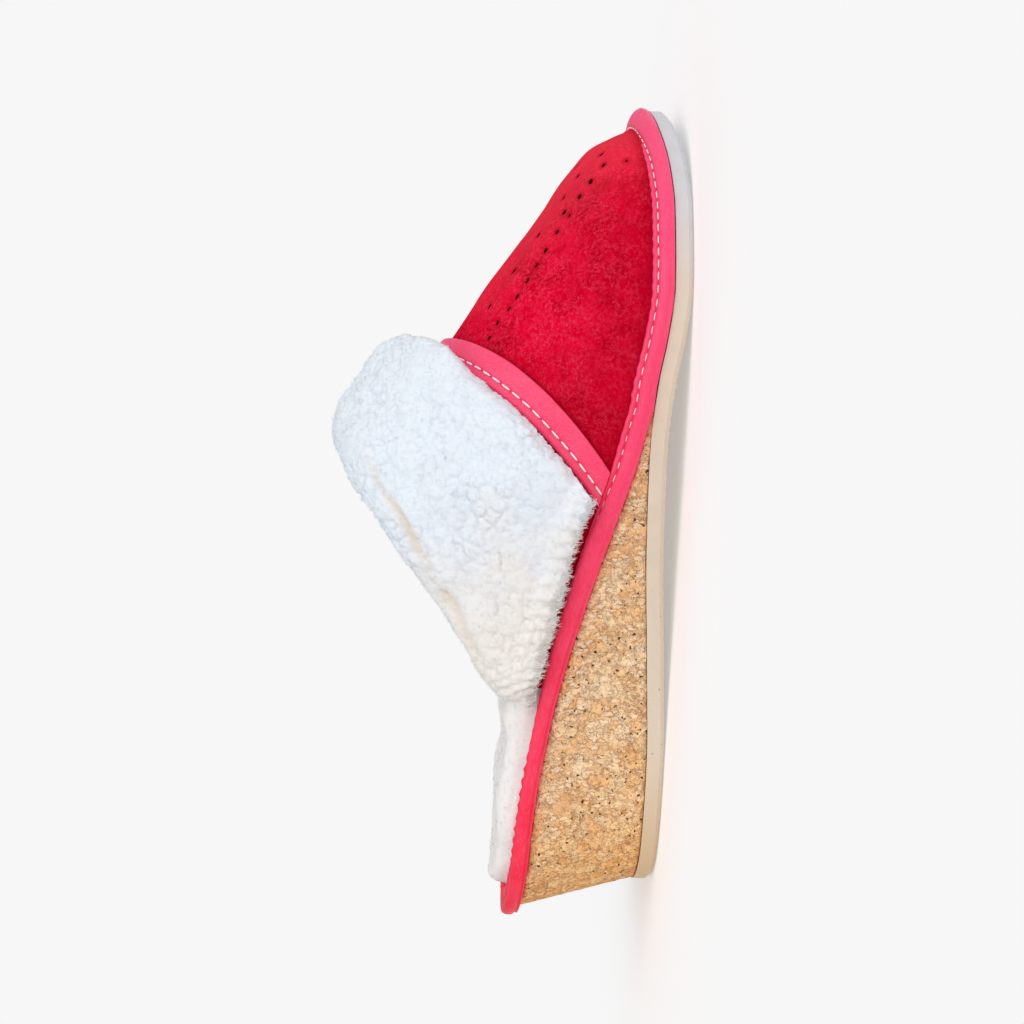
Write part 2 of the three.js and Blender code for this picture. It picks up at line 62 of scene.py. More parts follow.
Values = np.ndarray
Points = np.ndarray
Profile = Callable[[Values], Values]
Lay = Callable[[Values, Values], Points]
Colour = tuple[float, float, float, float]
Triple = tuple[float, float, float]
Piece = bpy.types.Object
Socket = bpy.types.NodeSocket
Material = bpy.types.Material


class Slot(Enum):
    """The material slots of the record."""

    SOLE = "sole_rubber"
    CORK = "cork"
    INSOLE = "insole_wool"
    BINDING = "binding"
    SUEDE = "suede"
    CUFF = "cuff_wool"
    THREAD = "thread"


def smooth_rows(along: Sequence[float], value: Sequence[float]) -> Profile:
    """Gives a cubic through a table's rows that never swings past them.

    Args:
        along: The places of the rows, in rising order.
        value: The values there.

    Returns:
        A function from places to values, held at the end rows.
    """
    at, val = np.asarray(along, float), np.asarray(value, float)
    step = np.diff(at)
    rise = np.diff(val) / step
    slope = np.empty_like(val)
    slope[0], slope[-1] = rise[0], rise[-1]
    before, after = 2 * step[1:] + step[:-1], step[1:] + 2 * step[:-1]
    same = rise[:-1] * rise[1:] > 0
    safe = np.where(same, rise[:-1], 1), np.where(same, rise[1:], 1)
    slope[1:-1] = np.where(same, (before + after) / (before / safe[0] + after / safe[1]), 0)

    def curve(x: Values) -> Values:
        """Reads the cubic at x."""
        x = np.asarray(x, float)
        i = np.clip(np.searchsorted(at, x) - 1, 0, len(step) - 1)
        t = unit((x - at[i]) / step[i])
        u = 1 - t
        return (u * u * (1 + 2 * t) * val[i] + t * t * (1 + 2 * u) * val[i + 1]
                + t * u * step[i] * (u * slope[i] - t * slope[i + 1]))

    return curve


def column(rows: Sequence[tuple[float, ...]], index: int) -> Profile:
    """Gives the smooth curve through a column of a table whose first column is the place along the sole."""
    return smooth_rows([row[0] for row in rows], [row[index] for row in rows])


def unit(value: Values) -> Values:
    """Holds values between 0 and 1."""
    return np.clip(value, 0, 1)


def bell(distance: Values, width: float, power: int = 2) -> Values:
    """Falls from 1 at no distance towards 0 past a width, more sharply with a higher power."""
    return np.exp(-(distance / width) ** power)


def field(points: Points, scale: float, shift: Triple = (0, 0, 0)) -> Values:
    """Reads smooth noise at points, scaled and then shifted."""
    return np.array([noise.noise(Vector(p) * scale + Vector(shift)) for p in points])


# Sole outline: share of the sole length, and reach to the inner and outer side as shares of the ball width.
OUTLINE = (
    (0, 0, 0), (0.017, 0.162, 0.16), (0.056, 0.264, 0.25), (0.11, 0.322, 0.305), (0.2, 0.33, 0.357),
    (0.315, 0.313, 0.431), (0.43, 0.313, 0.512), (0.54, 0.329, 0.594), (0.65, 0.347, 0.639),
    (0.745, 0.361, 0.637), (0.82, 0.358, 0.584), (0.88, 0.332, 0.508), (0.93, 0.275, 0.412),
    (0.965, 0.194, 0.3), (0.99, 0.085, 0.165), (1, -0.035, 0.035),
)
# Underside: lift at the arch and at the toe, as shares of the arch lift and the toe spring.
UNDERSIDE = (
    (-0.06, 0.3, 0), (0.05, 0, 0), (0.15, 0, 0), (0.29, 0.36, 0), (0.43, 0.82, 0), (0.55, 1, 0),
    (0.62, 0.8, 0), (0.69, 0.25, 0), (0.74, 0, 0), (0.84, 0, 0), (0.9, 0, 0.2), (0.96, 0, 0.66),
    (1.01, 0, 1),
)
# Thickness of the cork wedge as a share of the wedge height.
WEDGE = (
    (-0.06, 1), (0.043, 0.98), (0.132, 0.931), (0.214, 0.827), (0.282, 0.695), (0.36, 0.51), (0.415, 0.373),
    (0.483, 0.206), (0.543, 0.075), (0.6, 0),
)
# Footbed's edge, in millimetres: overhang of the rand past the outsole, rand height, reach of its top
# inwards, inset of the upper's foot, and 0 where the rand stands as a roll to 1 where it lies as a flap.
EDGE = (
    (0, 11.5, 5, 7.5, 2.8, 0), (0.03, 9.3, 5, 6, 2.8, 0), (0.11, 5, 4.8, 3.4, 2.8, 0),
    (0.2, 4, 4.8, 2.6, 2.8, 0), (0.36, 3, 6.2, 2.6, 2.8, 0), (0.54, 2, 6.8, 3.2, 2.8, 0),
    (0.75, 1.2, 6, 3.6, 2.8, 0), (0.85, 1.1, 6, 4, 3, 0.15), (0.9, 1, 6, 4.4, 3.2, 0.4),
    (0.97, 0.7, 6.6, 6.2, 4.2, 0.9), (1, 0.5, 7, 8, 5, 1),
)
# Ridge of the upper as a share of the instep height.
RIDGE = (
    (0.12, 1.74), (0.32, 1.53), (0.43, 1.32), (0.5, 1.165), (0.573, 1), (0.641, 0.845), (0.69, 0.748),
    (0.756, 0.637), (0.808, 0.541), (0.863, 0.447), (0.889, 0.409), (0.915, 0.364), (0.936, 0.31),
    (0.949, 0.248), (0.966, 0.19),
)
# Fullness of the upper's cross-section, as the power of its arch.
ARCH = ((0.1, 2.3), (0.57, 2.05), (0.8, 2), (0.92, 2.2), (1, 2.2))
# Pinholes on the outer side, in millimetres along and across the shoe, with their relative size.
PINHOLES = (
    (216, -34, 0.9), (211.5, -37, 0.55), (210, -34.5, 0.9), (205, -35.5, 1.1), (200.5, -35.5, 1),
    (196, -34, 1), (195, -36.5, 0.6), (190, -36.5, 0.9), (184.5, -37.5, 0.95), (180, -38.5, 0.9),
    (175.5, -39, 1), (171, -38.5, 1.1), (167.5, -38, 0.9), (163.5, -37, 0.8), (159, -37.5, 0.9),
    (214.5, -28.5, 0.7), (212.5, -19, 0.9), (208, -27.5, 0.8), (201.5, -27.5, 0.8), (190, -28.5, 0.9),
    (179, -30.5, 1), (169, -29, 1),
)


@dataclass(frozen=True)
class Last:
    """The form that the shoe is built on, in millimetres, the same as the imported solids'."""

    sole_length: float = 233.0
    ball_width: float = 91.0
    wedge_height: float = 33.5
    instep_height: float = 89.5
    arch_lift: float = 5.0
    toe_spring: float = 5.0
    outsole_thickness: float = 5.0
    board_thickness: float = 3.0
    rand_thickness: float = 2.2
    clearance: float = 0.3
    stations: int = 44
    ridge_side: float = -7.0

    def origin(self) -> Values:
        """Returns where the back of the outsole stands on the floor, in the frame's metres."""
        low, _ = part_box("outsole")
        rear = min((v.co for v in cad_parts["outsole"].data.vertices), key=lambda co: co.x)
        return np.array([low.x, rear.y, 0.0])

    def place(self, points: Points) -> Points:
        """Moves points in the last's millimetres into the frame's metres."""
        return np.asarray(points, float) * MM + self.origin()

    def local(self, points: Points) -> Points:
        """Moves points in the frame's metres into the last's millimetres."""
        return (points - self.origin()) / MM

    def underside(self, x: Values) -> Values:
        """Returns the height of the outsole's underside at x."""
        share = np.asarray(x, float) / self.sole_length
        return self.arch_lift * column(UNDERSIDE, 1)(share) + self.toe_spring * column(UNDERSIDE, 2)(share)

    def footbed(self, x: Values) -> Values:
        """Returns the height of the insole board's underside at x."""
        share = np.asarray(x, float) / self.sole_length
        base = self.underside(x) + self.outsole_thickness + self.clearance
        return base + self.wedge_height * column(WEDGE, 1)(share)

    def edge(self, share: Values, index: int) -> Values:
        """Reads a column of the footbed's edge table."""
        return column(EDGE, index)(share)

    def cork_bottom(self, x: Values) -> Values:
        """Returns the height of the cork's underside at x."""
        return self.underside(x) + self.outsole_thickness + self.clearance

    def above_rand(self, x: Values, z: Values) -> Values:
        """Returns how far heights lie above the rand's top."""
        return z - self.footbed(x) - self.edge(x / self.sole_length, 2)

    def outline(self, stations: int) -> Points:
        """Returns the sole outline's x and y, from the heel round the inner side to the toe and back."""
        bend = np.arccos(np.clip(1 - 2 * np.array([row[0] for row in OUTLINE]), -1, 1))
        inner = smooth_rows(bend, [row[1] for row in OUTLINE])
        outer = smooth_rows(bend, [row[2] for row in OUTLINE])
        index = np.arange(2 * stations)
        angle = np.pi * np.minimum(index, 2 * stations - index) / stations
        side = np.where(index <= stations, inner(angle), -outer(angle))
        return np.column_stack([self.sole_length * (1 - np.cos(angle)) / 2, side * self.ball_width])

    def outline_normals(self, outline: Points) -> Points:
        """Returns the outward directions at the outline's points."""
        run = np.roll(outline, -1, axis=0) - np.roll(outline, 1, axis=0)
        run /= np.linalg.norm(run, axis=1, keepdims=True)
        return np.column_stack([-run[:, 1], run[:, 0]])

    def foot_curves(self) -> tuple[Profile, Profile, float, float]:
        """Returns the upper's foot line on both sides as y over x, with the x and y of its tip at the toe."""
        line = self.outline(self.stations)
        share = line[:, 0] / self.sole_length
        inset = self.edge(share, 1) - self.edge(share, 4)
        foot = line + self.outline_normals(line) * inset[:, None]
        tip = foot[self.stations]

        def reach(points: Points) -> Profile:
            """Gives y over x along one side, read on the root of the distance to the tip."""
            bend = np.sqrt(np.maximum(tip[0] - points[:, 0], 0))
            order = np.argsort(bend)
            return lambda x: np.interp(np.sqrt(np.maximum(tip[0] - x, 0)), bend[order], points[order, 1])

        inner = reach(foot[1:self.stations + 1])
        outer = reach(foot[self.stations:])
        return inner, outer, float(tip[0]), float(tip[1])


LAST = Last()
INNER_FOOT, OUTER_FOOT, TIP_X, TIP_Y = LAST.foot_curves()


def foot_z(x: Values) -> Values:
    """Returns the height of the upper's foot at x."""
    return LAST.footbed(x) + LAST.board_thickness + LAST.clearance


RIDGE_ROWS = RIDGE + ((TIP_X / LAST.sole_length, float(foot_z(np.array(TIP_X))) / LAST.instep_height),)
RIDGE_CURVE = column(RIDGE_ROWS, 1)
ARCH_CURVE = column(ARCH, 1)


def skin(x: Values, turn: Values) -> Points:
    """Gives points of the last's skin.

    Args:
        x: Places along the shoe.
        turn: Angles from 0 at the outer side's foot over the ridge to pi at the inner side's foot.

    Returns:
        One row of x, y and z for each pair.
    """
    power = 2 / ARCH_CURVE(x / LAST.sole_length)
    rise = unit((x - (TIP_X - 30)) / 30)
    ridge_y = LAST.ridge_side + (TIP_Y - LAST.ridge_side) * rise * rise * (3 - 2 * rise)
    foot = np.where(turn < np.pi / 2, OUTER_FOOT(x), INNER_FOOT(x))
    up = np.maximum(np.sin(turn), 0) ** power
    across = np.abs(np.cos(turn)) ** power
    low = foot_z(x)
    top = np.maximum(RIDGE_CURVE(x / LAST.sole_length) * LAST.instep_height, low)
    return np.column_stack([x, ridge_y + (foot - ridge_y) * across, low + (top - low) * up])


def skin_normals(x: Values, turn: Values) -> Points:
    """Gives the outward directions of the last's skin at the given places."""
    reach = np.minimum(0.4, np.maximum(TIP_X - x, 0.02) / 2)
    along = skin(x + reach, turn) - skin(x - reach, turn)
    around = skin(x, np.minimum(turn + 0.02, np.pi)) - skin(x, np.maximum(turn - 0.02, 0))
    normal = np.cross(along, around)
    length = np.linalg.norm(normal, axis=1, keepdims=True)
    return np.where(length > 1e-9, normal / np.maximum(length, 1e-9), np.array([1.0, 0, 0]))


def turn_at_y(x: Values, y: Values) -> Values:
    """Returns the turn at which the skin stands at y, on the side of the ridge where y lies."""
    outer = y < LAST.ridge_side
    foot = np.where(outer, OUTER_FOOT(x), INNER_FOOT(x))
    across = unit((y - LAST.ridge_side) / (foot - LAST.ridge_side))
    angle = np.arccos(across ** (ARCH_CURVE(x / LAST.sole_length) / 2))
    return np.where(outer, angle, np.pi - angle)


@dataclass(frozen=True)
class Collar:
    """The edges of the upper and its tape in side view, as shares of sole length and instep height."""

    rear_low: tuple[float, float] = (0.244, 0.458)
    rear_high: tuple[float, float] = (0.573, 1.0)
    front_low: tuple[float, float] = (0.508, 0.2)
    front_high: tuple[float, float] = (0.688, 0.752)
    tape_width: float = 10.0
    rear_least: float = 60.0

    def rear_x(self, z: Values) -> Values:
        """Returns x of the upper's open end at a height."""
        rise = (z / LAST.instep_height - self.rear_low[1]) / (self.rear_high[1] - self.rear_low[1])
        line = LAST.sole_length * (self.rear_low[0] + (self.rear_high[0] - self.rear_low[0]) * rise)
        return np.maximum(line, self.rear_least)

    def rise(self, z: Values) -> Values:
        """Returns how far up the tape a height lies, from 0 at the rand to 1 on the ridge."""
        low, high = self.front_low[1], self.front_high[1]
        return np.clip((z / LAST.instep_height - low) / (high - low), -0.1, 1)

    def front_x(self, z: Values) -> Values:
        """Returns x of the tape's front edge at a height."""
        rise = self.rise(z)
        bow = 0.7 * (1 - (1 - rise) ** 2) + 0.3 * rise
        return LAST.sole_length * (self.front_low[0] + (self.front_high[0] - self.front_low[0]) * bow)

    def back_x(self, z: Values) -> Values:
        """Returns x of the tape's back edge at a height."""
        return self.front_x(z) - self.tape_width * (1.35 - 0.5 * self.rise(z) ** 2)


COLLAR = Collar()


def turn_above(x: Values, z: Values) -> Values:
    """Returns the turn at which the skin stands at a height."""
    low = foot_z(x)
    top = RIDGE_CURVE(x / LAST.sole_length) * LAST.instep_height
    up = unit((z - low) / (top - low))
    return np.arcsin(up ** (ARCH_CURVE(x / LAST.sole_length) / 2))


def spread_turn(x: Values, spread: Values, above: float) -> Values:
    """Returns the turn at a share of the way over the shoe, starting above the rand's top by a height."""
    start = np.zeros_like(x)
    if above >= 0:
        start = turn_above(x, LAST.footbed(x) + LAST.edge(x / LAST.sole_length, 2) + above)
    return start + (np.pi - 2 * start) * spread


def crossing(edge_x: Profile, spread: Values, above: float) -> Values:
    """Returns where lines along the skin cross an edge given as x over height."""
    front = np.full(spread.shape, TIP_X - 1.0)
    back = np.full(spread.shape, 0.1 * LAST.sole_length)
    for _ in range(40):
        x = (front + back) / 2
        ahead = x > edge_x(skin(x, spread_turn(x, spread, above))[:, 2])
        front, back = np.where(ahead, x, front), np.where(ahead, back, x)
    return (front + back) / 2


def deselect() -> None:
    """Deselects every object."""
    bpy.ops.object.select_all(action="DESELECT")


def activate(piece: Piece) -> None:
    """Makes a piece the only selected and the active object."""
    deselect()
    piece.select_set(True)
    bpy.context.view_layer.objects.active = piece


def modify(piece: Piece, kind: str, **settings: object) -> None:
    """Adds a modifier of a kind with its settings and applies it."""
    modifier = piece.modifiers.new(kind.lower(), kind)
    for name, value in settings.items():
        setattr(modifier, name, value)
    activate(piece)
    bpy.ops.object.modifier_apply(modifier=modifier.name)


def read_points(piece: Piece) -> Points:
    """Returns a piece's vertices as rows of x, y and z."""
    flat = np.empty(len(piece.data.vertices) * 3)
    piece.data.vertices.foreach_get("co", flat)
    return flat.reshape(-1, 3)


def read_normals(piece: Piece) -> Points:
    """Returns a piece's vertex normals."""
    flat = np.empty(len(piece.data.vertices) * 3)
    piece.data.vertices.foreach_get("normal", flat)
    return flat.reshape(-1, 3)


def write_points(piece: Piece, points: Points) -> None:
    """Moves a piece's vertices to new places."""
    piece.data.vertices.foreach_set("co", np.asarray(points, float).ravel())
    piece.data.update()


def write_attribute(piece: Piece, name: str, values: Values) -> None:
    """Stores one number for each vertex under a name that a finish reads."""
    attribute = piece.data.attributes.new(name, "FLOAT", "POINT")
    attribute.data.foreach_set("value", np.asarray(values, np.float32))


@contextmanager
def editing(piece: Piece) -> Iterator[None]:
    """Opens a piece's whole mesh for edit-mode operators."""
    activate(piece)
    bpy.ops.object.mode_set(mode="EDIT")
    bpy.ops.mesh.select_all(action="SELECT")
    yield
    bpy.ops.object.mode_set(mode="OBJECT")


def weld(piece: Piece) -> None:
    """Merges corners that lie on each other."""
    with editing(piece):
        bpy.ops.mesh.remove_doubles(threshold=MERGE)


def outward(piece: Piece) -> None:
    """Turns a closed piece's faces outwards."""
    with editing(piece):
        bpy.ops.mesh.normals_make_consistent(inside=False)


def face_out(piece: Piece) -> None:
    """Turns a sheet's faces away from the shoe's middle."""
    points = read_points(piece)
    if np.sum((points - points.mean(0)) * read_normals(piece)) < 0:
        with editing(piece):
            bpy.ops.mesh.flip_normals()


def shade(piece: Piece, degrees: float = 180) -> None:
    """Shades a piece smooth, with edges sharper than the angle left as edges."""
    activate(piece)
    bpy.ops.object.shade_smooth_by_angle(angle=math.radians(degrees))


def wear(piece: Piece, finish: Material) -> None:
    """Gives a piece its finish and lets it ride on the shoe."""
    piece.data.materials.clear()
    piece.data.materials.append(finish)
    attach(piece, "root")
    LOG.info("%s: %d faces", piece.name, len(piece.data.polygons))


def copy_of(node: str, name: str) -> Piece:
    """Copies a solid of the frame as a piece with shared corners."""
    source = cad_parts[node]
    piece = bpy.data.objects.new(name, source.data.copy())
    bpy.context.scene.collection.objects.link(piece)
    weld(piece)
    bpy.ops.mesh.customdata_custom_splitnormals_clear()
    return piece


def grid_sheet(name: str, rows: int, columns: int, lay: Lay) -> Piece:
    """Lays a flat grid over the last.

    Args:
        name: The piece's name.
        rows: Faces along the first direction.
        columns: Faces along the second direction.
        lay: Gives the last's points for two arrays of shares, each from 0 to 1.

    Returns:
        The sheet, one face thick.
    """
    deselect()
    bpy.ops.mesh.primitive_grid_add(x_subdivisions=rows, y_subdivisions=columns, size=1.0)
    piece = bpy.context.active_object
    piece.name = name
    flat = read_points(piece)
    write_points(piece, LAST.place(lay(flat[:, 0] + 0.5, flat[:, 1] + 0.5)))
    return piece


def corners_and_faces(body: Piece) -> tuple[Points, list[tuple[int, ...]]]:
    """Takes the corners and faces of a body and removes it."""
    points, faces = read_points(body), [tuple(p.vertices) for p in body.data.polygons]
    bpy.data.objects.remove(body)
    return points, faces


def repeated(faces: Sequence[tuple[int, ...]], step: int, count: int) -> list[tuple[int, ...]]:
    """Numbers the faces of one body on for count bodies of step corners each."""
    return [tuple(i + k * step for i in face) for k in range(count) for face in faces]


def solid_mesh(name: str, points: Points, faces: Sequence[Sequence[int]]) -> Piece:
    """Makes a piece straight from corner points in metres and faces."""
    mesh = bpy.data.meshes.new(name)
    mesh.from_pydata([tuple(p) for p in points], [], faces)
    mesh.update()
    piece = bpy.data.objects.new(name, mesh)
    bpy.context.scene.collection.objects.link(piece)
    return piece


class Recipe:
    """A material's node tree under construction, with short ways to add its usual nodes."""

    def __init__(self, name: str) -> None:
        """Starts an empty material with a shader and an output."""
        self.material = bpy.data.materials.new(name)
        self.material.use_nodes = True
        self.tree = self.material.node_tree
        self.tree.nodes.clear()
        self.out = self.tree.nodes.new("ShaderNodeOutputMaterial")
        self.shader = self.tree.nodes.new("ShaderNodeBsdfPrincipled")
        self.join(self.shader.outputs["BSDF"], self.out.inputs["Surface"])
        self.object = self.tree.nodes.new("ShaderNodeTexCoord").outputs["Object"]

    def join(self, source: Socket, target: Socket) -> None:
        """Links two sockets."""
        self.tree.links.new(source, target)

    def put(self, socket: Socket, value: object) -> None:
        """Sets a socket to a number or colour, or links it to another socket."""
        if isinstance(value, Socket):
            self.join(value, socket)
        else:
            socket.default_value = value

    def add(self, kind: str, inputs: dict[str | int, object], **settings: object) -> bpy.types.Node:
        """Adds a node with its settings and sets or links its inputs."""
        node = self.tree.nodes.new(kind)
        for name, value in settings.items():
            setattr(node, name, value)
        for name, value in inputs.items():
            self.put(node.inputs[name], value)
        return node

    def noise(self, size: float, detail: float = 2, rough: float = 0.5, twist: float = 0,
              where: Socket | None = None) -> Socket:
        """Adds noise whose features are about size millimetres across and returns its value."""
        inputs = {"Scale": 1 / (size * MM), "Detail": detail, "Roughness": rough, "Distortion": twist}
        return self.add("ShaderNodeTexNoise", inputs | {"Vector": where or self.object}).outputs["Fac"]

    def cells(self, size: float, feature: str = "F1", where: Socket | None = None) -> bpy.types.Node:
        """Adds a cell pattern with cells of about size millimetres and returns its node."""
        inputs = {"Scale": 1 / (size * MM), "Vector": where or self.object}
        return self.add("ShaderNodeTexVoronoi", inputs, feature=feature)

    def math(self, kind: str, first: object, second: object = 0.0) -> Socket:
        """Adds a sum of one or two values."""
        return self.add("ShaderNodeMath", {0: first, 1: second}, operation=kind).outputs[0]

    def times(self, first: object, second: object) -> Socket:
        """Multiplies two values."""
        return self.math("MULTIPLY", first, second)

    def most(self, first: object, second: object) -> Socket:
        """Takes the larger of two values."""
        return self.math("MAXIMUM", first, second)

    def span(self, value: Socket, low: float, high: float, to_low: float = 0, to_high: float = 1,
             soft: bool = True) -> Socket:
        """Maps a span of a value to another, softly at its ends."""
        ends = {"From Min": low, "From Max": high, "To Min": to_low, "To Max": to_high, "Value": value}
        kind = "SMOOTHSTEP" if soft else "LINEAR"
        return self.add("ShaderNodeMapRange", ends, interpolation_type=kind).outputs["Result"]

    def mix(self, share: object, first: object, second: object, kind: str = "MIX") -> Socket:
        """Mixes two colours."""
        inputs = {"Factor": share, 6: first, 7: second}
        return self.add("ShaderNodeMix", inputs, data_type="RGBA", blend_type=kind).outputs[2]

    def tint(self, base: Socket, share: Socket, strength: float, colour: Colour) -> Socket:
        """Mixes a colour over a base where a share stands, at a strength."""
        return self.mix(self.times(share, strength), base, colour)

    def axis(self, name: str) -> Socket:
        """Returns one coordinate of the object's space, in metres."""
        return self.add("ShaderNodeSeparateXYZ", {0: self.object}).outputs[name]

    def stretch(self, scale: Triple, turn: Triple = (0, 0, 0), where: Socket | None = None) -> Socket:
        """Returns object coordinates turned and stretched by factors."""
        inputs = {"Scale": scale, "Rotation": turn, "Vector": where or self.object}
        return self.add("ShaderNodeMapping", inputs).outputs["Vector"]

    def warp(self, size: float, reach: float) -> Socket:
        """Returns object coordinates pushed about by coloured noise, reach millimetres at most."""
        node = self.add("ShaderNodeTexNoise", {"Scale": 1 / (size * MM), "Vector": self.object})
        inputs = {0: node.outputs["Color"], 1: (2 * reach * MM,) * 3, 2: self.object}
        return self.add("ShaderNodeVectorMath", inputs, operation="MULTIPLY_ADD").outputs[0]

    def attribute(self, name: str) -> Socket:
        """Returns a number stored on the mesh."""
        return self.add("ShaderNodeAttribute", {}, attribute_name=name).outputs["Fac"]

    def bump(self, height: Socket, reach: float, strength: float = 1,
             below: Socket | None = None) -> Socket:
        """Adds a bump whose full height is reach millimetres, on top of another."""
        inputs = {"Strength": strength, "Distance": reach * MM, "Height": height}
        if below is not None:
            inputs["Normal"] = below
        return self.add("ShaderNodeBump", inputs).outputs["Normal"]

    def finish(self, colour: object, rough: object, normal: Socket | None = None, sheen: float = 0,
               sheen_tint: Colour = (1, 1, 1, 1), depth: float = 0, coat: float = 0,
               gloss: float = 0.5) -> Material:
        """Sets the shader's sockets and returns the material."""
        inputs = {
            "Specular IOR Level": gloss, "Base Color": colour, "Roughness": rough, "Sheen Weight": sheen,
            "Sheen Tint": sheen_tint, "Sheen Roughness": 0.5, "Coat Weight": coat, "Coat Roughness": 0.35,
        }
        if normal is not None:
            inputs["Normal"] = normal
        if depth:
            inputs |= {"Subsurface Weight": 0.3, "Subsurface Radius": (1.0, 1.0, 1.0)}
            inputs["Subsurface Scale"] = depth * MM
        for name, value in inputs.items():
            self.put(self.shader.inputs[name], value)
        return self.material


def hue(red: float, green: float, blue: float) -> Colour:
    """Turns a colour of 0 to 255 as seen on a screen into the shader's own numbers."""
    shares = [c / 255 for c in (red, green, blue)]
    linear = [s / 12.92 if s <= 0.04045 else ((s + 0.055) / 1.055) ** 2.4 for s in shares]
    return (*linear, 1.0)


@dataclass(frozen=True)
class SuedeFinish:
    """Deep red suede with a mottled nap and light loose fibres."""

    deep: Colour = hue(192, 0, 30)
    middle: Colour = hue(234, 3, 52)
    light: Colour = hue(253, 24, 72)
    fibre: Colour = hue(255, 84, 112)

    @staticmethod
    def squiggles(r: Recipe, size: float, twist: float, width: float, shift: float) -> Socket:
        """Draws short wriggling lines where a noise crosses a level."""
        line = r.math("ABSOLUTE", r.math("SUBTRACT", r.noise(size, 1, 0.4, twist), 0.5 + shift))
        return r.span(line, 0.0, width, 1, 0)

    def material(self) -> Material:
        """Builds the finish."""
        r = Recipe("suede_red")
        blotch = r.span(r.noise(16, 3, 0.6), 0.36, 0.64)
        patch = r.span(r.noise(5, 4, 0.65, 0.6), 0.38, 0.66)
        base = r.mix(blotch, self.deep, self.middle)
        base = r.tint(base, patch, 0.6, self.light)
        fibre = self.squiggles(r, 1.9, 2.2, 0.035, 0)
        for size, twist, shift in ((1.5, 2.8, 0.05), (1.2, 2.0, -0.06)):
            fibre = r.most(fibre, self.squiggles(r, size, twist, 0.04, shift))
        gate = r.span(r.noise(1.1, 2), 0.4, 0.58)
        region = r.span(r.noise(7, 2), 0.3, 0.6, 0.35, 1)
        fibre = r.times(r.times(fibre, gate), region)
        grain = r.noise(0.3, 3, 0.7)
        base = r.tint(base, r.span(grain, 0.35, 0.7), 0.5, self.deep)
        base = r.tint(base, fibre, 0.68, self.fibre)
        # Painted sheen: the ridge is lightened.
        base = r.mix(r.attribute("ridge"), base, hue(246, 66, 84))
        # Painted shade: darker towards the foot of the upper, behind the toe.
        base = r.mix(r.attribute("low"), base, hue(170, 0, 30))
        # Painted shade round the pinholes, along the tape's front edge and just above the rand.
        base = r.mix(r.attribute("painted_suede_shade"), base, hue(150, 0, 24))
        normal = r.bump(grain, 0.16, 0.8)
        normal = r.bump(fibre, 0.04, 0.5, normal)
        rough = r.span(grain, 0.3, 0.7, 0.85, 1.0)
        return r.finish(base, rough, normal, sheen=0.05, sheen_tint=hue(255, 70, 90), gloss=0.0)

    @staticmethod
    def painted_hole_shade_material() -> Material:
        """Builds the rough finish inside a pinhole, darkened with painted shade."""
        r = Recipe("suede_hole_painted_shade")
        grain = r.noise(0.3, 3, 0.7)
        base = r.mix(r.span(grain, 0.35, 0.65), hue(46, 0, 8), hue(96, 4, 18))
        return r.finish(base, 0.95, r.bump(grain, 0.12, 0.7), gloss=0.0)


@dataclass(frozen=True)
class BindingFinish:
    """Smooth coral red binding with a faint weave and a soft sheen, a purer red towards the heel."""

    front: Colour = hue(250, 72, 122)
    back: Colour = hue(250, 26, 56)
    shade: Colour = hue(196, 12, 52)
    middle_x: float = 85.0
    half_span: float = 105.0

    def material(self, name: str, weave: bool) -> Material:
        """Builds the finish.

        Args:
            name: The material's name.
            weave: Whether a faint ribbed weave shows, as on the tape.

        Returns:
            The material.
        """
        r = Recipe(name)
        here = LAST.place(np.array([[self.middle_x, 0, 0]]))[0, 0]
        along = r.span(r.axis("X"), here - self.half_span * MM, here + self.half_span * MM, soft=False)
        base = r.mix(along, self.back, self.front)
        cloud = r.span(r.noise(9, 3), 0.35, 0.65)
        base = r.tint(base, cloud, 0.12, hue(255, 110, 150))
        base = r.tint(base, r.span(r.noise(0.7, 4, 0.7), 0.4, 0.75), 0.14, hue(214, 24, 60))
        normal = r.bump(r.noise(0.5, 4, 0.65), 0.06, 0.5)
        if weave:
            for slant in (0.7, -0.9):
                rib = r.noise(0.3, 1, 0.5, 0, r.stretch((1, 0.18, 0.3), (0, slant, 0)))
                normal = r.bump(rib, 0.05, 0.6, normal)
                base = r.tint(base, r.span(rib, 0.42, 0.6), 0.12, hue(255, 124, 150))
        else:
            line = r.noise(0.5, 2, 0.6, 0, r.stretch((0.1, 1, 1)))
            normal = r.bump(line, 0.1, 0.5, normal)
            base = r.tint(base, r.span(line, 0.45, 0.65), 0.14, hue(255, 120, 140))
        # Painted shade in the creases of the rand and tape.
        base = r.mix(r.attribute("painted_crease_shade"), base, self.shade)
        return r.finish(base, r.span(r.noise(3, 3), 0.3, 0.7, 0.42, 0.58), normal, coat=0.03, gloss=0.25)


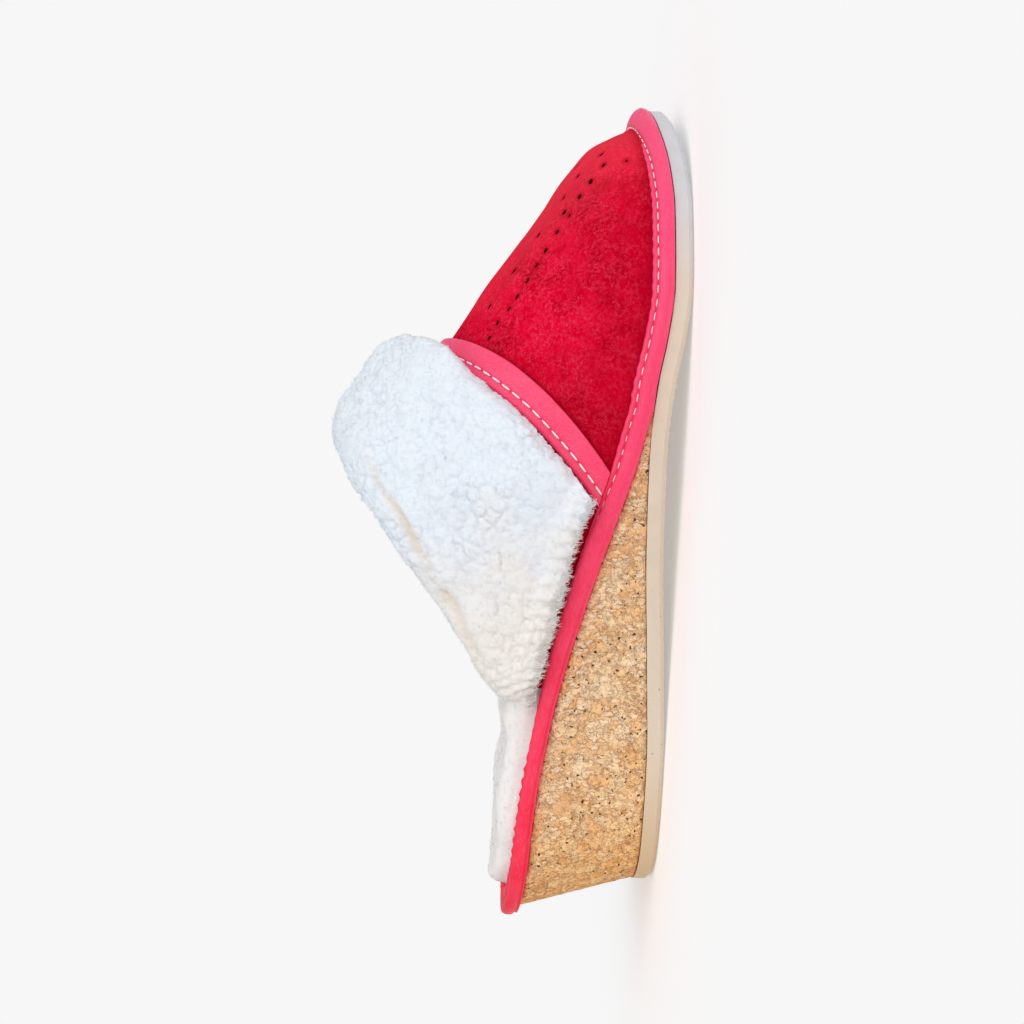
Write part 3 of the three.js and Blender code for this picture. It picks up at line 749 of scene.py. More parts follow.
@dataclass(frozen=True)
class CorkFinish:
    """Pressed cork granules in tans, with curled brown outlines, pale rims painted as highlights and black
    pits.
    """

    pale: Colour = hue(255, 230, 192)
    tan: Colour = hue(248, 200, 144)
    dusk: Colour = hue(222, 168, 116)
    warm: Colour = hue(255, 212, 134)
    bark: Colour = hue(150, 92, 46)
    pit: Colour = hue(52, 32, 22)
    chip: Colour = hue(255, 236, 208)

    @staticmethod
    def grains(r: Recipe, size: float, where: Socket) -> tuple[Socket, ...]:
        """Returns two values that change from granule to granule, and the distance to a granule's edge."""
        node = r.add("ShaderNodeSeparateColor", {0: r.cells(size, "F1", where).outputs["Color"]})
        return node.outputs[0], node.outputs[1], r.cells(size, "DISTANCE_TO_EDGE", where).outputs["Distance"]

    def material(self) -> Material:
        """Builds the finish."""
        r = Recipe("cork_granules")
        bent = r.warp(1.6, 1.5)
        tone, dark, rim = self.grains(r, 3.8, bent)
        fine_tone, fine_dark, fine_rim = self.grains(r, 1.5, r.warp(0.9, 0.9))
        base = r.mix(r.span(tone, 0.1, 0.9), self.tan, self.pale)
        base = r.tint(base, r.span(dark, 0.7, 1.0), 0.45, self.dusk)
        base = r.tint(base, r.span(fine_tone, 0.5, 1.0), 0.4, self.pale)
        base = r.tint(base, r.span(fine_dark, 0.6, 1.0), 0.4, self.dusk)
        wisp = r.math("ABSOLUTE", r.math("SUBTRACT", r.noise(2.4, 2, 0.5, 3.2), 0.5))
        gate = r.span(r.noise(2.4, 3), 0.42, 0.54)
        # Pale lines beside the brown wisps, painted highlight.
        curl = r.times(r.span(wisp, 0.03, 0.09, 1, 0), gate)
        wisp = r.times(r.span(wisp, 0.0, 0.035, 1, 0), gate)
        line = r.times(r.span(rim, 0.0, 0.11, 1, 0), r.span(r.noise(2.0, 3), 0.42, 0.55))
        thin = r.times(r.span(fine_rim, 0.0, 0.1, 1, 0), r.span(r.noise(3.0, 2), 0.44, 0.6))
        painted_rim_highlight = r.times(r.span(rim, 0.07, 0.16, 1, 0), r.span(r.noise(3.0, 2), 0.5, 0.62))
        # Painted highlight: pale rims and lines beside the brown outlines, for an embossed look.
        base = r.tint(base, r.most(painted_rim_highlight, curl), 0.45, hue(255, 232, 200))
        brown = r.most(r.times(thin, 0.42), r.times(wisp, 0.75))
        brown = r.most(brown, r.times(line, 0.66))
        base = r.tint(base, brown, 0.9, self.bark)
        base = r.tint(base, r.span(r.noise(0.45, 4, 0.7), 0.4, 0.7), 0.15, self.dusk)
        for turn, size in ((0.4, 1.3), (-0.7, 1.5), (1.3, 1.2), (2.2, 1.4)):
            lying = r.stretch((1, 0.8, 0.45), (0.3, turn, 0.2), r.warp(1.4, 0.8))
            chip_tone, _, chip_rim = self.grains(r, size, lying)
            chosen = r.span(chip_tone, 0.86, 0.9)
            inside = r.times(chosen, r.span(chip_rim, 0.1, 0.22))
            round_it = r.times(chosen, r.span(chip_rim, 0.02, 0.14, 1, 0))
            base = r.tint(base, round_it, 0.45, self.bark)
            base = r.tint(base, inside, 0.6, self.chip)
        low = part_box("cork_wedge")[0]
        slope = r.math("ADD", r.axis("X"), r.times(r.axis("Z"), 0.5))
        warmth = r.span(slope, low.x, low.x + 0.07, 0.75, 0.15)
        base = r.mix(warmth, base, self.warm, "MULTIPLY")
        spots = r.cells(2.0, "F1", r.warp(0.8, 0.9)).outputs["Distance"]
        pits = r.times(r.span(spots, 0.15, 0.23, 1, 0), r.span(r.noise(3.2, 2), 0.53, 0.57))
        rare = r.cells(3.1, "F1", r.warp(1.0, 1.0)).outputs["Distance"]
        rare = r.times(r.span(rare, 0.09, 0.14, 1, 0), r.span(r.noise(6, 1), 0.45, 0.5))
        pits = r.most(pits, rare)
        base = r.tint(base, pits, 0.95, self.pit)
        height = r.math("SUBTRACT", 1.0, r.most(r.times(brown, 0.5), pits))
        normal = r.bump(height, 0.5, 0.9)
        normal = r.bump(r.noise(0.5, 4, 0.7), 0.2, 0.7, normal)
        return r.finish(base, 0.8, normal, gloss=0.2)


@dataclass(frozen=True)
class RubberFinish:
    """Light beige moulded rubber, greyer towards the toe, with few dark specks."""

    beige: Colour = hue(222, 208, 189)
    grey: Colour = hue(207, 211, 217)
    heel: Colour = hue(214, 184, 144)
    pitch_along: float = 2.95
    pitch_across: float = 3.2

    def material(self) -> Material:
        """Builds the finish."""
        r = Recipe("rubber_beige")
        low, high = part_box("outsole")
        x = r.axis("X")
        base = r.mix(r.span(x, high.x - 0.075, high.x - 0.02), self.beige, self.grey)
        base = r.mix(r.span(x, low.x, low.x + 0.05, 1, 0), base, self.heel)
        base = r.tint(base, r.span(r.noise(6, 4), 0.35, 0.7), 0.2, hue(205, 190, 168))
        speck = r.cells(3.5, "F1").outputs["Distance"]
        dots = r.times(r.span(speck, 0.04, 0.08, 1, 0), r.span(r.noise(7, 1), 0.48, 0.54))
        base = r.tint(base, dots, 0.75, hue(84, 66, 52))
        normal = r.bump(r.noise(0.45, 3, 0.6), 0.05, 0.5)
        dimple = self.tread(r)
        # Painted shade darkens the dimples.
        base = r.tint(base, dimple, 0.35, hue(186, 168, 144))
        normal = r.bump(r.math("SUBTRACT", 1.0, dimple), 0.5, 1, normal)
        return r.finish(base, 0.62, normal, depth=0.8)

    def tread(self, r: Recipe) -> Socket:
        """Draws the underside's diamond dimples between two families of slanting ridges."""
        walls = []
        for sign in (1, -1):
            across = r.times(r.axis("Y"), sign * math.pi / (self.pitch_across * MM))
            phase = r.math("ADD", r.times(r.axis("X"), math.pi / (self.pitch_along * MM)), across)
            walls.append(r.math("ABSOLUTE", r.math("SINE", phase)))
        return r.times(r.span(r.math("MINIMUM", *walls), 0.2, 0.95), r.attribute("tread"))


@dataclass(frozen=True)
class WoolFinish:
    """Curly white wool, creamier towards the back edge, with painted shade in its hollows and a warmer
    painted shade in the valley by the back edge.
    """

    white: Colour
    cream: Colour
    painted_wool_shade: Colour
    cream_from: float
    cream_to: float

    def material(self, name: str, depth: float) -> Material:
        """Builds the finish under a name, with light reaching depth millimetres into the wool."""
        r = Recipe(name)
        here = LAST.place(np.array([[self.cream_from, 0, 0], [self.cream_to, 0, 0]]))[:, 0]
        slant = r.math("ADD", r.axis("X"), r.times(r.axis("Z"), 0.3))
        cloud = r.times(r.math("SUBTRACT", r.noise(12, 3), 0.5), 0.05)
        share = r.span(r.math("ADD", slant, cloud), here[0], here[1], 1, 0)
        base = r.mix(share, self.white, self.cream)
        # Painted shade in the grooves between clumps, at the fibres' roots and over the lining.
        base = r.tint(base, r.attribute("painted_wool_shade"), 0.34, self.painted_wool_shade)
        # Painted shade: a darker, warmer tint in the valley behind the cuff's rolled back edge.
        base = r.tint(base, r.attribute("cream"), 0.85, hue(234, 220, 202))
        strand = r.noise(0.35, 3, 0.6, 1.5)
        base = r.tint(base, r.span(strand, 0.4, 0.7), 0.08, self.painted_wool_shade)
        normal = r.bump(r.noise(0.45, 3, 0.6, 1.2), 0.22, 0.5)
        return r.finish(base, 1.0, normal, depth=depth, gloss=0.1)


@dataclass(frozen=True)
class ThreadFinish:
    """Twisted white sewing thread."""

    colour: Colour = hue(250, 244, 240)

    def material(self) -> Material:
        """Builds the finish."""
        r = Recipe("thread_white")
        twist = r.noise(0.25, 2)
        base = r.mix(r.times(r.span(twist, 0.4, 0.65), 0.3), self.colour, hue(230, 196, 198))
        return r.finish(base, 0.6, r.bump(twist, 0.05, 0.6), sheen=0.2)


@dataclass
class Sole:
    """Outsole and cork wedge."""

    bottom_round: float = 1.1
    cork_voxel: float = 0.75
    pit_depth: float = 0.25
    tip_from: float = 126.0
    tip_to: float = 141.0
    tip_out: float = 0.8

    def build(self) -> None:
        """Makes both pieces and lets them stand for their solids."""
        self.outsole()
        self.cork()

    @staticmethod
    def underneath(piece: Piece) -> Values:
        """Tells which corners of the outsole lie on its underside."""
        x, _, z = LAST.local(read_points(piece)).T
        return np.abs(z - LAST.underside(x)) < 0.05

    def outsole(self) -> None:
        """Rounds the moulded outsole's lower edge."""
        piece = copy_of("outsole", "outsole_rubber")
        low = self.underneath(piece)
        weights = [float(low[e.vertices[0]] and low[e.vertices[1]]) for e in piece.data.edges]
        piece.data.attributes.new("bevel_weight_edge", "FLOAT", "EDGE").data.foreach_set("value", weights)
        modify(piece, "BEVEL", width=self.bottom_round * MM, segments=3, limit_method="WEIGHT")
        write_attribute(piece, "tread", self.underneath(piece))
        shade(piece, 40)
        wear(piece, RubberFinish().material())
        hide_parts("outsole")

    def cork(self) -> None:
        """Makes the pressed cork with its drawn-out tip."""
        piece = copy_of("cork_wedge", "cork_wedge_body")
        modify(piece, "REMESH", mode="VOXEL", voxel_size=self.cork_voxel * MM)
        tip = self.cork_tip()
        activate(piece)
        tip.select_set(True)
        bpy.ops.object.join()
        self.roughen(piece)
        shade(piece, 50)
        wear(piece, CorkFinish().material())
        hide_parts("cork_wedge")

    def cork_tip(self) -> Piece:
        """Copies the wedge's front part and draws it out, to fill the slot between rand and outsole."""
        tip = copy_of("cork_wedge", "cork_tip")
        points = LAST.local(read_points(tip))
        x = np.maximum(points[:, 0], self.tip_from)
        bottom = LAST.cork_bottom(x)
        height = unit((points[:, 2] - bottom) / (LAST.footbed(x) - LAST.clearance - bottom))
        x = self.tip_from + (x - self.tip_from) * (self.tip_to - self.tip_from) / (x.max() - self.tip_from)
        bottom = LAST.cork_bottom(x)
        top = np.maximum(LAST.footbed(x) - LAST.clearance, bottom + 0.1)
        y = points[:, 1] + self.tip_out * np.sign(points[:, 1]) * unit((x - self.tip_from) / 8)
        write_points(tip, LAST.place(np.column_stack([x, y, bottom + height * (top - bottom)])))
        with editing(tip):
            bpy.ops.mesh.remove_doubles(threshold=MERGE)
            bpy.ops.mesh.dissolve_degenerate(threshold=MERGE)
        return tip

    def roughen(self, piece: Piece) -> None:
        """Gives the cork its uneven cut face and closes the gaps above and below it."""
        points, normals = read_points(piece), read_normals(piece)
        rough = field(points, 420) + 0.6 * field(points, 1100)
        local = LAST.local(points)
        seat = LAST.clearance - 0.02
        close = seat * unit(1 - (local[:, 2] - LAST.cork_bottom(local[:, 0])))
        push = (rough * 0.5 - 0.1) * self.pit_depth
        push = np.where(normals[:, 2] > 0.8, seat, np.where(normals[:, 2] < -0.8, 0, push))
        points += normals * push[:, None] * MM
        points[:, 2] -= close * MM
        write_points(piece, points)


@dataclass
class Rand:
    """The binding round the footbed's edge, with its seam."""

    stations: int = 260
    stitch_pitch: float = 3.8
    stitch_length: float = 2.7
    stitch_radius: float = 0.21
    scallop: float = 0.55
    seam_corner: int = 7

    def corners(self, share: Values) -> Values:
        """Returns the section's corners for each share of the sole length, as inward and upward distances."""
        height, reach, flat = (LAST.edge(share, i) for i in (2, 3, 5))

        def between(roll: Values | float, sloping: Values | float) -> Values:
            """Mixes the standing roll and the sloping flap."""
            return roll + (sloping - roll) * flat

        thick = np.full_like(share, LAST.rand_thickness)
        flap = LAST.board_thickness + LAST.clearance
        tuck = np.maximum(height - 1.7, flap)
        turned = unit((0.53 - share) / 0.1)
        turned = turned * turned * (3 - 2 * turned)

        def behind(side: Values | float, top: Values | float) -> Values:
            """Mixes the seam on the side beside the vamp and on the top behind it."""
            return side + (top - side) * turned

        roll_top = between(0.62, 0.55)
        rows = (
            (-LAST.edge(share, 1) - 2.0, -0.12),
            (-0.5, 0),
            (0.1, behind(0.1, 0.07) * height),
            (behind(0.2, -0.35), behind(0.24, 0.18) * height),
            (behind(between(0.75, 0.4), 0.65), behind(between(0.36, 0.26), 0.32) * height),
            (behind(between(0.6, -0.1 * reach), 0.55), behind(roll_top, 0.74) * height),
            (behind(between(-0.16, -0.5) * reach, -0.4), behind(between(0.76, 0.82), 1.0) * height),
            (behind(between(-0.4, -0.72) * reach - 0.45, -0.42 * reach - 0.3),
             behind(between(0.76, 0.84) * height - 0.3, 0.96 * height - 0.45)),
            (behind(between(-0.52, -0.84), -0.62) * reach - 0.1 * turned,
             behind(between(0.97, 1.02), 1.03) * height),
            (-reach - 0.2, height + behind(0.05, -0.1)),
            (-reach - 0.4, tuck),
            (-thick - 0.3, flap),
            (-thick - 0.3, 0.25),
        )
        none = np.zeros_like(share)
        return np.stack([np.column_stack([none + side, none + top]) for side, top in rows], 1)

    def rim(self) -> tuple[Points, Points, Values]:
        """Returns the sole outline, its outward directions and the way along the rim to each point."""
        line = LAST.outline(400)
        normal = LAST.outline_normals(line)
        rim = line + normal * LAST.edge(line[:, 0] / LAST.sole_length, 1)[:, None]
        step = np.linalg.norm(np.diff(rim, axis=0, append=rim[:1]), axis=1)
        return line, normal, np.concatenate([[0], np.cumsum(step)])

    def frame_lines(self, stations: int) -> tuple[Points, Points, Values]:
        """Returns the rim's points, outward directions and shares at even steps round the shoe."""
        line, normal, walked = self.rim()
        even = np.arange(stations) / stations * walked[-1]

        def along(values: Values) -> Values:
            """Reads values at the even steps."""
            return np.interp(even, walked, np.append(values, values[0]))

        points = np.column_stack([along(line[:, 0]), along(line[:, 1])])
        out = np.column_stack([along(normal[:, 0]), along(normal[:, 1])])
        out /= np.linalg.norm(out, axis=1, keepdims=True)
        return points, out, points[:, 0] / LAST.sole_length

    def section_points(self, corner_set: Values, line: Points, out: Points, share: Values) -> Values:
        """Places section corners round the shoe."""
        over = LAST.edge(share, 1)[:, None] + corner_set[:, :, 0]
        x = line[:, 0:1] + out[:, 0:1] * over
        y = line[:, 1:2] + out[:, 1:2] * over
        z = LAST.footbed(x) + corner_set[:, :, 1]
        return np.stack([x, y, z], -1)

    def build(self) -> None:
        """Makes the band and its stitches."""
        line, out, share = self.frame_lines(self.stations * 2)
        corner_set = self.corners(share)
        phase = np.arange(len(share)) / len(share) * self.rim()[2][-1] / self.stitch_pitch * 2 * np.pi
        uneven = np.array([0.7 + 0.9 * noise.noise(Vector((x / 9, y / 9, 4))) for x, y in line])
        lively = np.interp(share, (0, 0.12, 0.19, 0.5, 0.58), (1.7, 1.7, 0.45, 0.45, 1.0))
        gather = self.scallop * uneven * lively * np.cos(phase)
        corner_set[:, 8, 1] += 0.6 * gather
        corner_set[:, 9, 0] -= gather
        wave = np.array([noise.noise(Vector((x / 14, y / 14, 9))) for x, y in line])
        corner_set[:, 4:8, 0] += (0.3 * wave)[:, None]
        for _ in range(2):
            after = np.roll(corner_set, -1, axis=1)
            pair = np.stack([0.75 * corner_set + 0.25 * after, 0.25 * corner_set + 0.75 * after], 2)
            corner_set = pair.reshape(len(share), -1, 2)
        ring = self.section_points(corner_set, line, out, share)
        around, across = ring.shape[:2]
        corner_count = across // 4

        def lay(u: Values, v: Values) -> Points:
            """Closes the band both along the rim and round its section."""
            return ring[np.rint(u * around).astype(int) % around, np.rint(v * across).astype(int) % across]

        piece = grid_sheet("rand_binding", around, across, lay)
        self.paint_crease_shade(piece, ring, corner_count)
        weld(piece)
        outward(piece)
        shade(piece)
        wear(piece, BindingFinish().material("binding_rand", False))
        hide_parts("rand")
        self.seam()

    def paint_crease_shade(self, piece: Piece, ring: Values, corner_count: int) -> None:
        """Stores painted shade on the band: in its seam's valley, where it tucks in beside the upper, and in
        the fold above the cork.
        """
        around, across = ring.shape[:2]
        place = np.arange(across) * corner_count / across + 0.375
        valley = 0.8 * bell(place - self.seam_corner, 0.4)
        fold = 0.4 * bell(place - 3, 0.4)
        tuck = 0.9 * bell(place - 9.9, 0.6)
        _, _, share = self.frame_lines(around)
        heel = unit((0.42 - share) / 0.1)
        depth = np.maximum(np.maximum(valley, tuck)[None, :], fold[None, :] * (0.12 + 0.7 * heel[:, None]))
        columns = np.arange(len(piece.data.vertices)) // (around + 1)
        rows = np.arange(len(piece.data.vertices)) % (around + 1)
        write_attribute(piece, "painted_crease_shade", depth[rows % around, columns % across])

    def seam(self) -> None:
        """Lays one stitch after another along the valley of the band."""
        count = int(self.rim()[2][-1] / self.stitch_pitch)
        line, out, share = self.frame_lines(count * 8)
        path = self.section_points(self.corners(share), line, out, share)
        before, after = path[:, self.seam_corner - 1], path[:, self.seam_corner + 1]
        valley = 0.125 * before + 0.75 * path[:, self.seam_corner] + 0.125 * after
        ahead = np.roll(valley, -1, axis=0) - valley
        face = np.cross(after - before, ahead)
        face /= np.linalg.norm(face, axis=1, keepdims=True)
        face *= np.sign(np.sum(face * (path[:, 5] - path[:, 0]), axis=1, keepdims=True))
        hidden = np.interp(share, (0.12, 0.18, 0.4, 0.5, 0.72, 0.82), (0.9, 0.12, 0.06, 0.16, 0.1, 0))
        seam = valley - face * hidden[:, None]
        starts = np.arange(count) * 8
        stitches = Stitches(self.stitch_length, self.stitch_radius)
        stitches.lay("rand_stitches", seam[starts], np.roll(seam, -4, axis=0)[starts], face[starts])

@dataclass
class Stitches:
    """Rows of sewn stitches, each a short bent capsule half sunk into the leather."""

    length: float
    radius: float
    rings: int = 5
    sides: int = 8

    def capsule(self) -> tuple[Points, list[tuple[int, ...]]]:
        """Models one stitch lying along x, with its middle highest, and returns its corners and faces."""
        deselect()
        bpy.ops.mesh.primitive_uv_sphere_add(segments=self.sides, ring_count=self.rings + 1, radius=1)
        points, faces = corners_and_faces(bpy.context.active_object)
        turned = points[:, [2, 0, 1]]
        stretch = np.sign(turned[:, 0]) * np.abs(turned[:, 0]) ** 0.8
        fat = np.sqrt(np.maximum(1 - stretch ** 6, 0.05))
        size = np.linalg.norm(turned[:, 1:], axis=1, keepdims=True)
        around = turned[:, 1:] / np.maximum(size, 1e-6) * np.minimum(size * 1.3, 1) * fat[:, None]
        x = stretch * self.length / 2
        y = around[:, 0] * self.radius
        sink = -0.55 * self.radius * np.abs(stretch) ** 2.5
        return np.column_stack([x, y, around[:, 1] * self.radius * 0.8 + sink]), faces

    def lay(self, name: str, start: Points, end: Points, face: Points) -> None:
        """Lays a stitch over each stretch.

        Args:
            name: The piece's name.
            start: A point on each stretch.
            end: A later point on each stretch, which gives its direction.
            face: The surface's outward direction there.
        """
        shape, faces = self.capsule()
        along = end - start
        along /= np.linalg.norm(along, axis=1, keepdims=True)
        side = np.cross(face, along)
        side /= np.linalg.norm(side, axis=1, keepdims=True)
        up = np.cross(along, side)
        middle = start + up * 0.45 * self.radius
        points = (middle[:, None] + shape[None, :, 0:1] * along[:, None]
                  + shape[None, :, 1:2] * side[:, None] + shape[None, :, 2:3] * up[:, None])
        all_faces = repeated(faces, len(shape), len(start))
        piece = solid_mesh(name, LAST.place(points.reshape(-1, 3)), all_faces)
        outward(piece)
        shade(piece)
        wear(piece, ThreadFinish().material())


@dataclass
class Upper:
    """The suede upper with its pinhole rows, and the tape on its collar."""

    wall: float = 2.0
    rows: int = 176
    columns: int = 240
    hole_width: float = 1.45
    hole_length: float = 2.2
    hole_depth: float = 1.7
    tape_thickness: float = 1.4
    tape_seam: float = 0.68
    tape_pitch: float = 3.9
    tape_rows: int = 22
    tape_columns: int = 300
    fold_thickness: float = 1.0
    fold_round: float = 0.4
    stitch_length: float = 3.2
    stitch_radius: float = 0.28
    toe_fullness: float = 1.3

    def relief(self, x: Values, turn: Values, points: Points) -> Values:
        """Returns how far the suede stands off: soft waves, the strip between the holes and a full toe."""
        waves = field(points / (17, 13, 15), 1) * 0.42
        fine = field(points / (6, 5, 6), 1, (9, 3, 1)) * 0.12
        y = points[:, 1]
        strip = sum(bell(y - middle, 3.1, 4) for middle in (-32.6, 18.6))
        fold = bell(y + 37.6, 0.9) + bell(y - 23.6, 0.9)
        here = unit((x - 130) / 20) * unit((219 - x) / 6)
        blunt = bell(x - 220.5, 4.2) + 0.4 * bell(x - 187, 9)
        blunt *= bell(turn - np.pi / 2, 0.9)
        return waves + fine + here * (0.35 * strip - 0.3 * fold) + self.toe_fullness * blunt - 0.12

    def build(self) -> None:
        """Makes the upper, its holes and the tape."""
        self.suede()
        self.tape()

    def suede(self) -> None:
        """Lays the suede on the last and cuts the pinholes."""

        def lay(u: Values, v: Values) -> Points:
            """Closes the toe by letting the rows gather at its tip."""
            back = crossing(COLLAR.rear_x, v, -1)
            x = TIP_X + (back - TIP_X) * (1 - np.cos(u * np.pi / 2))
            turn = np.pi * v
            points = skin(x, turn)
            calm = unit((TIP_X - x) / 6)
            dents = np.zeros(len(points))
            for centre in self.hole_centres():
                dents = np.maximum(dents, np.exp(-np.sum((points - centre) ** 2, axis=1) / 1.9 ** 2))
            off = self.relief(x, turn, points) * calm - 0.5 * dents
            return points + skin_normals(x, turn) * off[:, None]

        piece = grid_sheet("upper_suede", self.rows, self.columns, lay)
        face_out(piece)
        modify(piece, "SOLIDIFY", thickness=self.wall * MM, offset=-1)
        self.cut_holes(piece)
        self.colour_marks(piece)
        shade(piece, 60)
        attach(piece, "root")
        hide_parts("upper")
        LOG.info("%s: %d faces", piece.name, len(piece.data.polygons))

    def cut_holes(self, piece: Piece) -> None:
        """Cuts the pinholes, whose walls get painted shade: a finish darker than the suede."""
        suede, hole = SuedeFinish().material(), SuedeFinish.painted_hole_shade_material()
        cutter = self.hole_cutter()
        for body in (piece, cutter):
            body.data.materials.append(suede)
            body.data.materials.append(hole)
        for face in cutter.data.polygons:
            face.material_index = 1
        modify(piece, "BOOLEAN", operation="DIFFERENCE", solver="EXACT", object=cutter)
        bpy.data.objects.remove(cutter)

    def hole_centres(self) -> Points:
        """Returns the pinholes' places on the last."""
        x, y, _ = self.hole_places()
        return skin(x, turn_at_y(x, y))

    def colour_marks(self, piece: Piece) -> None:
        """Stores painted shade round each pinhole, along the tape's front edge and above the rand, painted
        sheen on the ridge, and painted shade towards the foot.
        """
        points = LAST.local(read_points(piece))
        painted_suede_shade = np.zeros(len(points))
        # Painted shade in the sunken ring round each pinhole.
        for centre in self.hole_centres():
            painted_suede_shade = np.maximum(painted_suede_shade, bell(np.linalg.norm(points - centre, axis=1), 1.5, 4))
        above = points[:, 2] - foot_z(points[:, 0])
        ahead = points[:, 0] - COLLAR.front_x(points[:, 2])
        shadow = np.where(ahead > -1, 0.75 * np.exp(-np.maximum(ahead, 0) / 1.7), 0)
        shadow = np.maximum(shadow, np.where(ahead > -1, 0.4 * np.exp(-np.maximum(ahead, 0) / 10), 0))
        shadow = np.maximum(shadow, 0.5 * np.exp(-np.maximum(above - 3.2, 0) / 1.6))
        write_attribute(piece, "painted_suede_shade", np.maximum(0.6 * painted_suede_shade, shadow))
        # Painted sheen: a lighter strip along the ridge, widening towards the toe.
        toe = unit((points[:, 0] - 165) / 45)
        ridge = bell(points[:, 1] - LAST.ridge_side, 24 + 8 * toe, 4) * np.sqrt(toe)
        write_attribute(piece, "ridge", 0.62 * ridge)
        # Painted shade, darker towards the foot of the upper and away from the toe.
        write_attribute(piece, "low", 0.6 * unit(1 - above / 34) * unit((215 - points[:, 0]) / 30))

    def hole_places(self) -> tuple[Values, Values, Values]:
        """Returns x, y and relative size of the pinholes on both sides of the ridge."""
        rows = np.array(PINHOLES) + (0.8, 0.3, 0)
        mirrored = rows * (1, -1, 1) + (0, 2 * LAST.ridge_side, 0)
        both = np.concatenate([rows, mirrored])
        return both[:, 0], both[:, 1], both[:, 2]

    def hole_cutter(self) -> Piece:
        """Makes one body for each pinhole, slanted a little to the row."""
        x, y, size_each = self.hole_places()
        turn = turn_at_y(x, y)
        centre = skin(x, turn)
        normal = skin_normals(x, turn)
        ahead = skin(x + 0.5, turn) - skin(x - 0.5, turn)
        ahead /= np.linalg.norm(ahead, axis=1, keepdims=True)
        side = np.cross(normal, ahead)
        rng = np.random.default_rng(5)
        slant = rng.normal(0.0, 0.18, len(x))[:, None]
        long = ahead * np.cos(slant) + side * np.sin(slant)
        wide = np.cross(normal, long)
        deselect()
        bpy.ops.mesh.primitive_cylinder_add(vertices=12, radius=1, depth=1)
        shape, faces = corners_and_faces(bpy.context.active_object)
        deep = shape[:, 2] < 0
        size = np.where(deep, 0.75, 1.0)
        a = shape[:, 0] * self.hole_length / 2 * size
        b = shape[:, 1] * self.hole_width / 2 * size
        c = np.where(deep, -self.hole_depth, 3.0)
        each = size_each[:, None, None]
        points = (centre[:, None] + long[:, None] * a[None, :, None] * each
                  + wide[:, None] * b[None, :, None] * each + normal[:, None] * c[None, :, None])
        all_faces = repeated(faces, len(shape), len(x))
        cutter = solid_mesh("hole_cutter", LAST.place(points.reshape(-1, 3)), all_faces)
        outward(cutter)
        return cutter

    def tape_place(self, u: Values, v: Values, off: Values) -> Points:
        """Returns points over the tape: u from front to back edge, v over the shoe, off from the skin."""
        front = crossing(COLLAR.front_x, v, 0.0)
        back = crossing(COLLAR.back_x, v, 0.0)
        x = front + (back - front) * u
        turn = spread_turn(x, v, 0.0)
        return skin(x, turn) + skin_normals(x, turn) * np.asarray(off)[:, None]

    def tape(self) -> None:
        """Lays the folded tape over the collar and sews it down."""
        along, run, length = self.seam_run()
        count = int(length / self.tape_pitch)

        def lay(u: Values, v: Values) -> Points:
            """Lays the tape's outer face, pillowed, with a groove along the seam."""
            pillow = 0.35 * np.sqrt(unit(1 - (2 * u - 1) ** 6))
            groove = -0.3 * bell(u - self.tape_seam, 0.05)
            beat = np.interp(v, along, run) * count * 2 * np.pi
            pucker = 0.05 * np.cos(beat) * bell(u - self.tape_seam, 0.12)
            off = LAST.clearance + self.tape_thickness - 0.35 + pillow + groove + pucker
            return self.tape_place(u, v, off)

        piece = grid_sheet("collar_tape_binding", self.tape_rows, self.tape_columns, lay)
        share = (np.arange(len(piece.data.vertices)) % (self.tape_rows + 1)) / self.tape_rows
        # Painted shade along the seam's groove and at the tape's front and back edges.
        painted_crease_shade = 0.7 * bell(share - self.tape_seam, 0.045) + np.clip((share - 0.88) / 0.12, 0, 0.5)
        write_attribute(piece, "painted_crease_shade", unit(painted_crease_shade + 0.5 * unit((0.03 - share) / 0.03)))
        face_out(piece)
        modify(piece, "SOLIDIFY", thickness=self.fold_thickness * MM, offset=-1)
        modify(piece, "BEVEL", width=self.fold_round * MM, segments=3, limit_method="ANGLE",
               angle_limit=math.radians(50))
        shade(piece, 60)
        wear(piece, BindingFinish().material("binding_tape", True))
        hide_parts("collar_tape")
        v = np.interp((np.arange(count) + 0.5) / count, run, along)
        u = np.full(count, self.tape_seam)
        off = np.full(count, LAST.clearance + self.tape_thickness - 0.22)
        start = self.tape_place(u, v, off)
        end = self.tape_place(u, v + 0.2 / count, off)
        face = self.tape_place(u, v, off + 1) - start
        Stitches(self.stitch_length, self.stitch_radius).lay("tape_stitches", start, end, face)

    def seam_run(self) -> tuple[Values, Values, float]:
        """Returns places across the tape's seam, the share of its length reached at each, and its length."""
        v = np.linspace(0, 1, 400)
        path = self.tape_place(np.full(400, self.tape_seam), v, np.ones(400))
        run = np.concatenate([[0.0], np.cumsum(np.linalg.norm(np.diff(path, axis=0), axis=1))])
        return v, run / run[-1], float(run[-1])


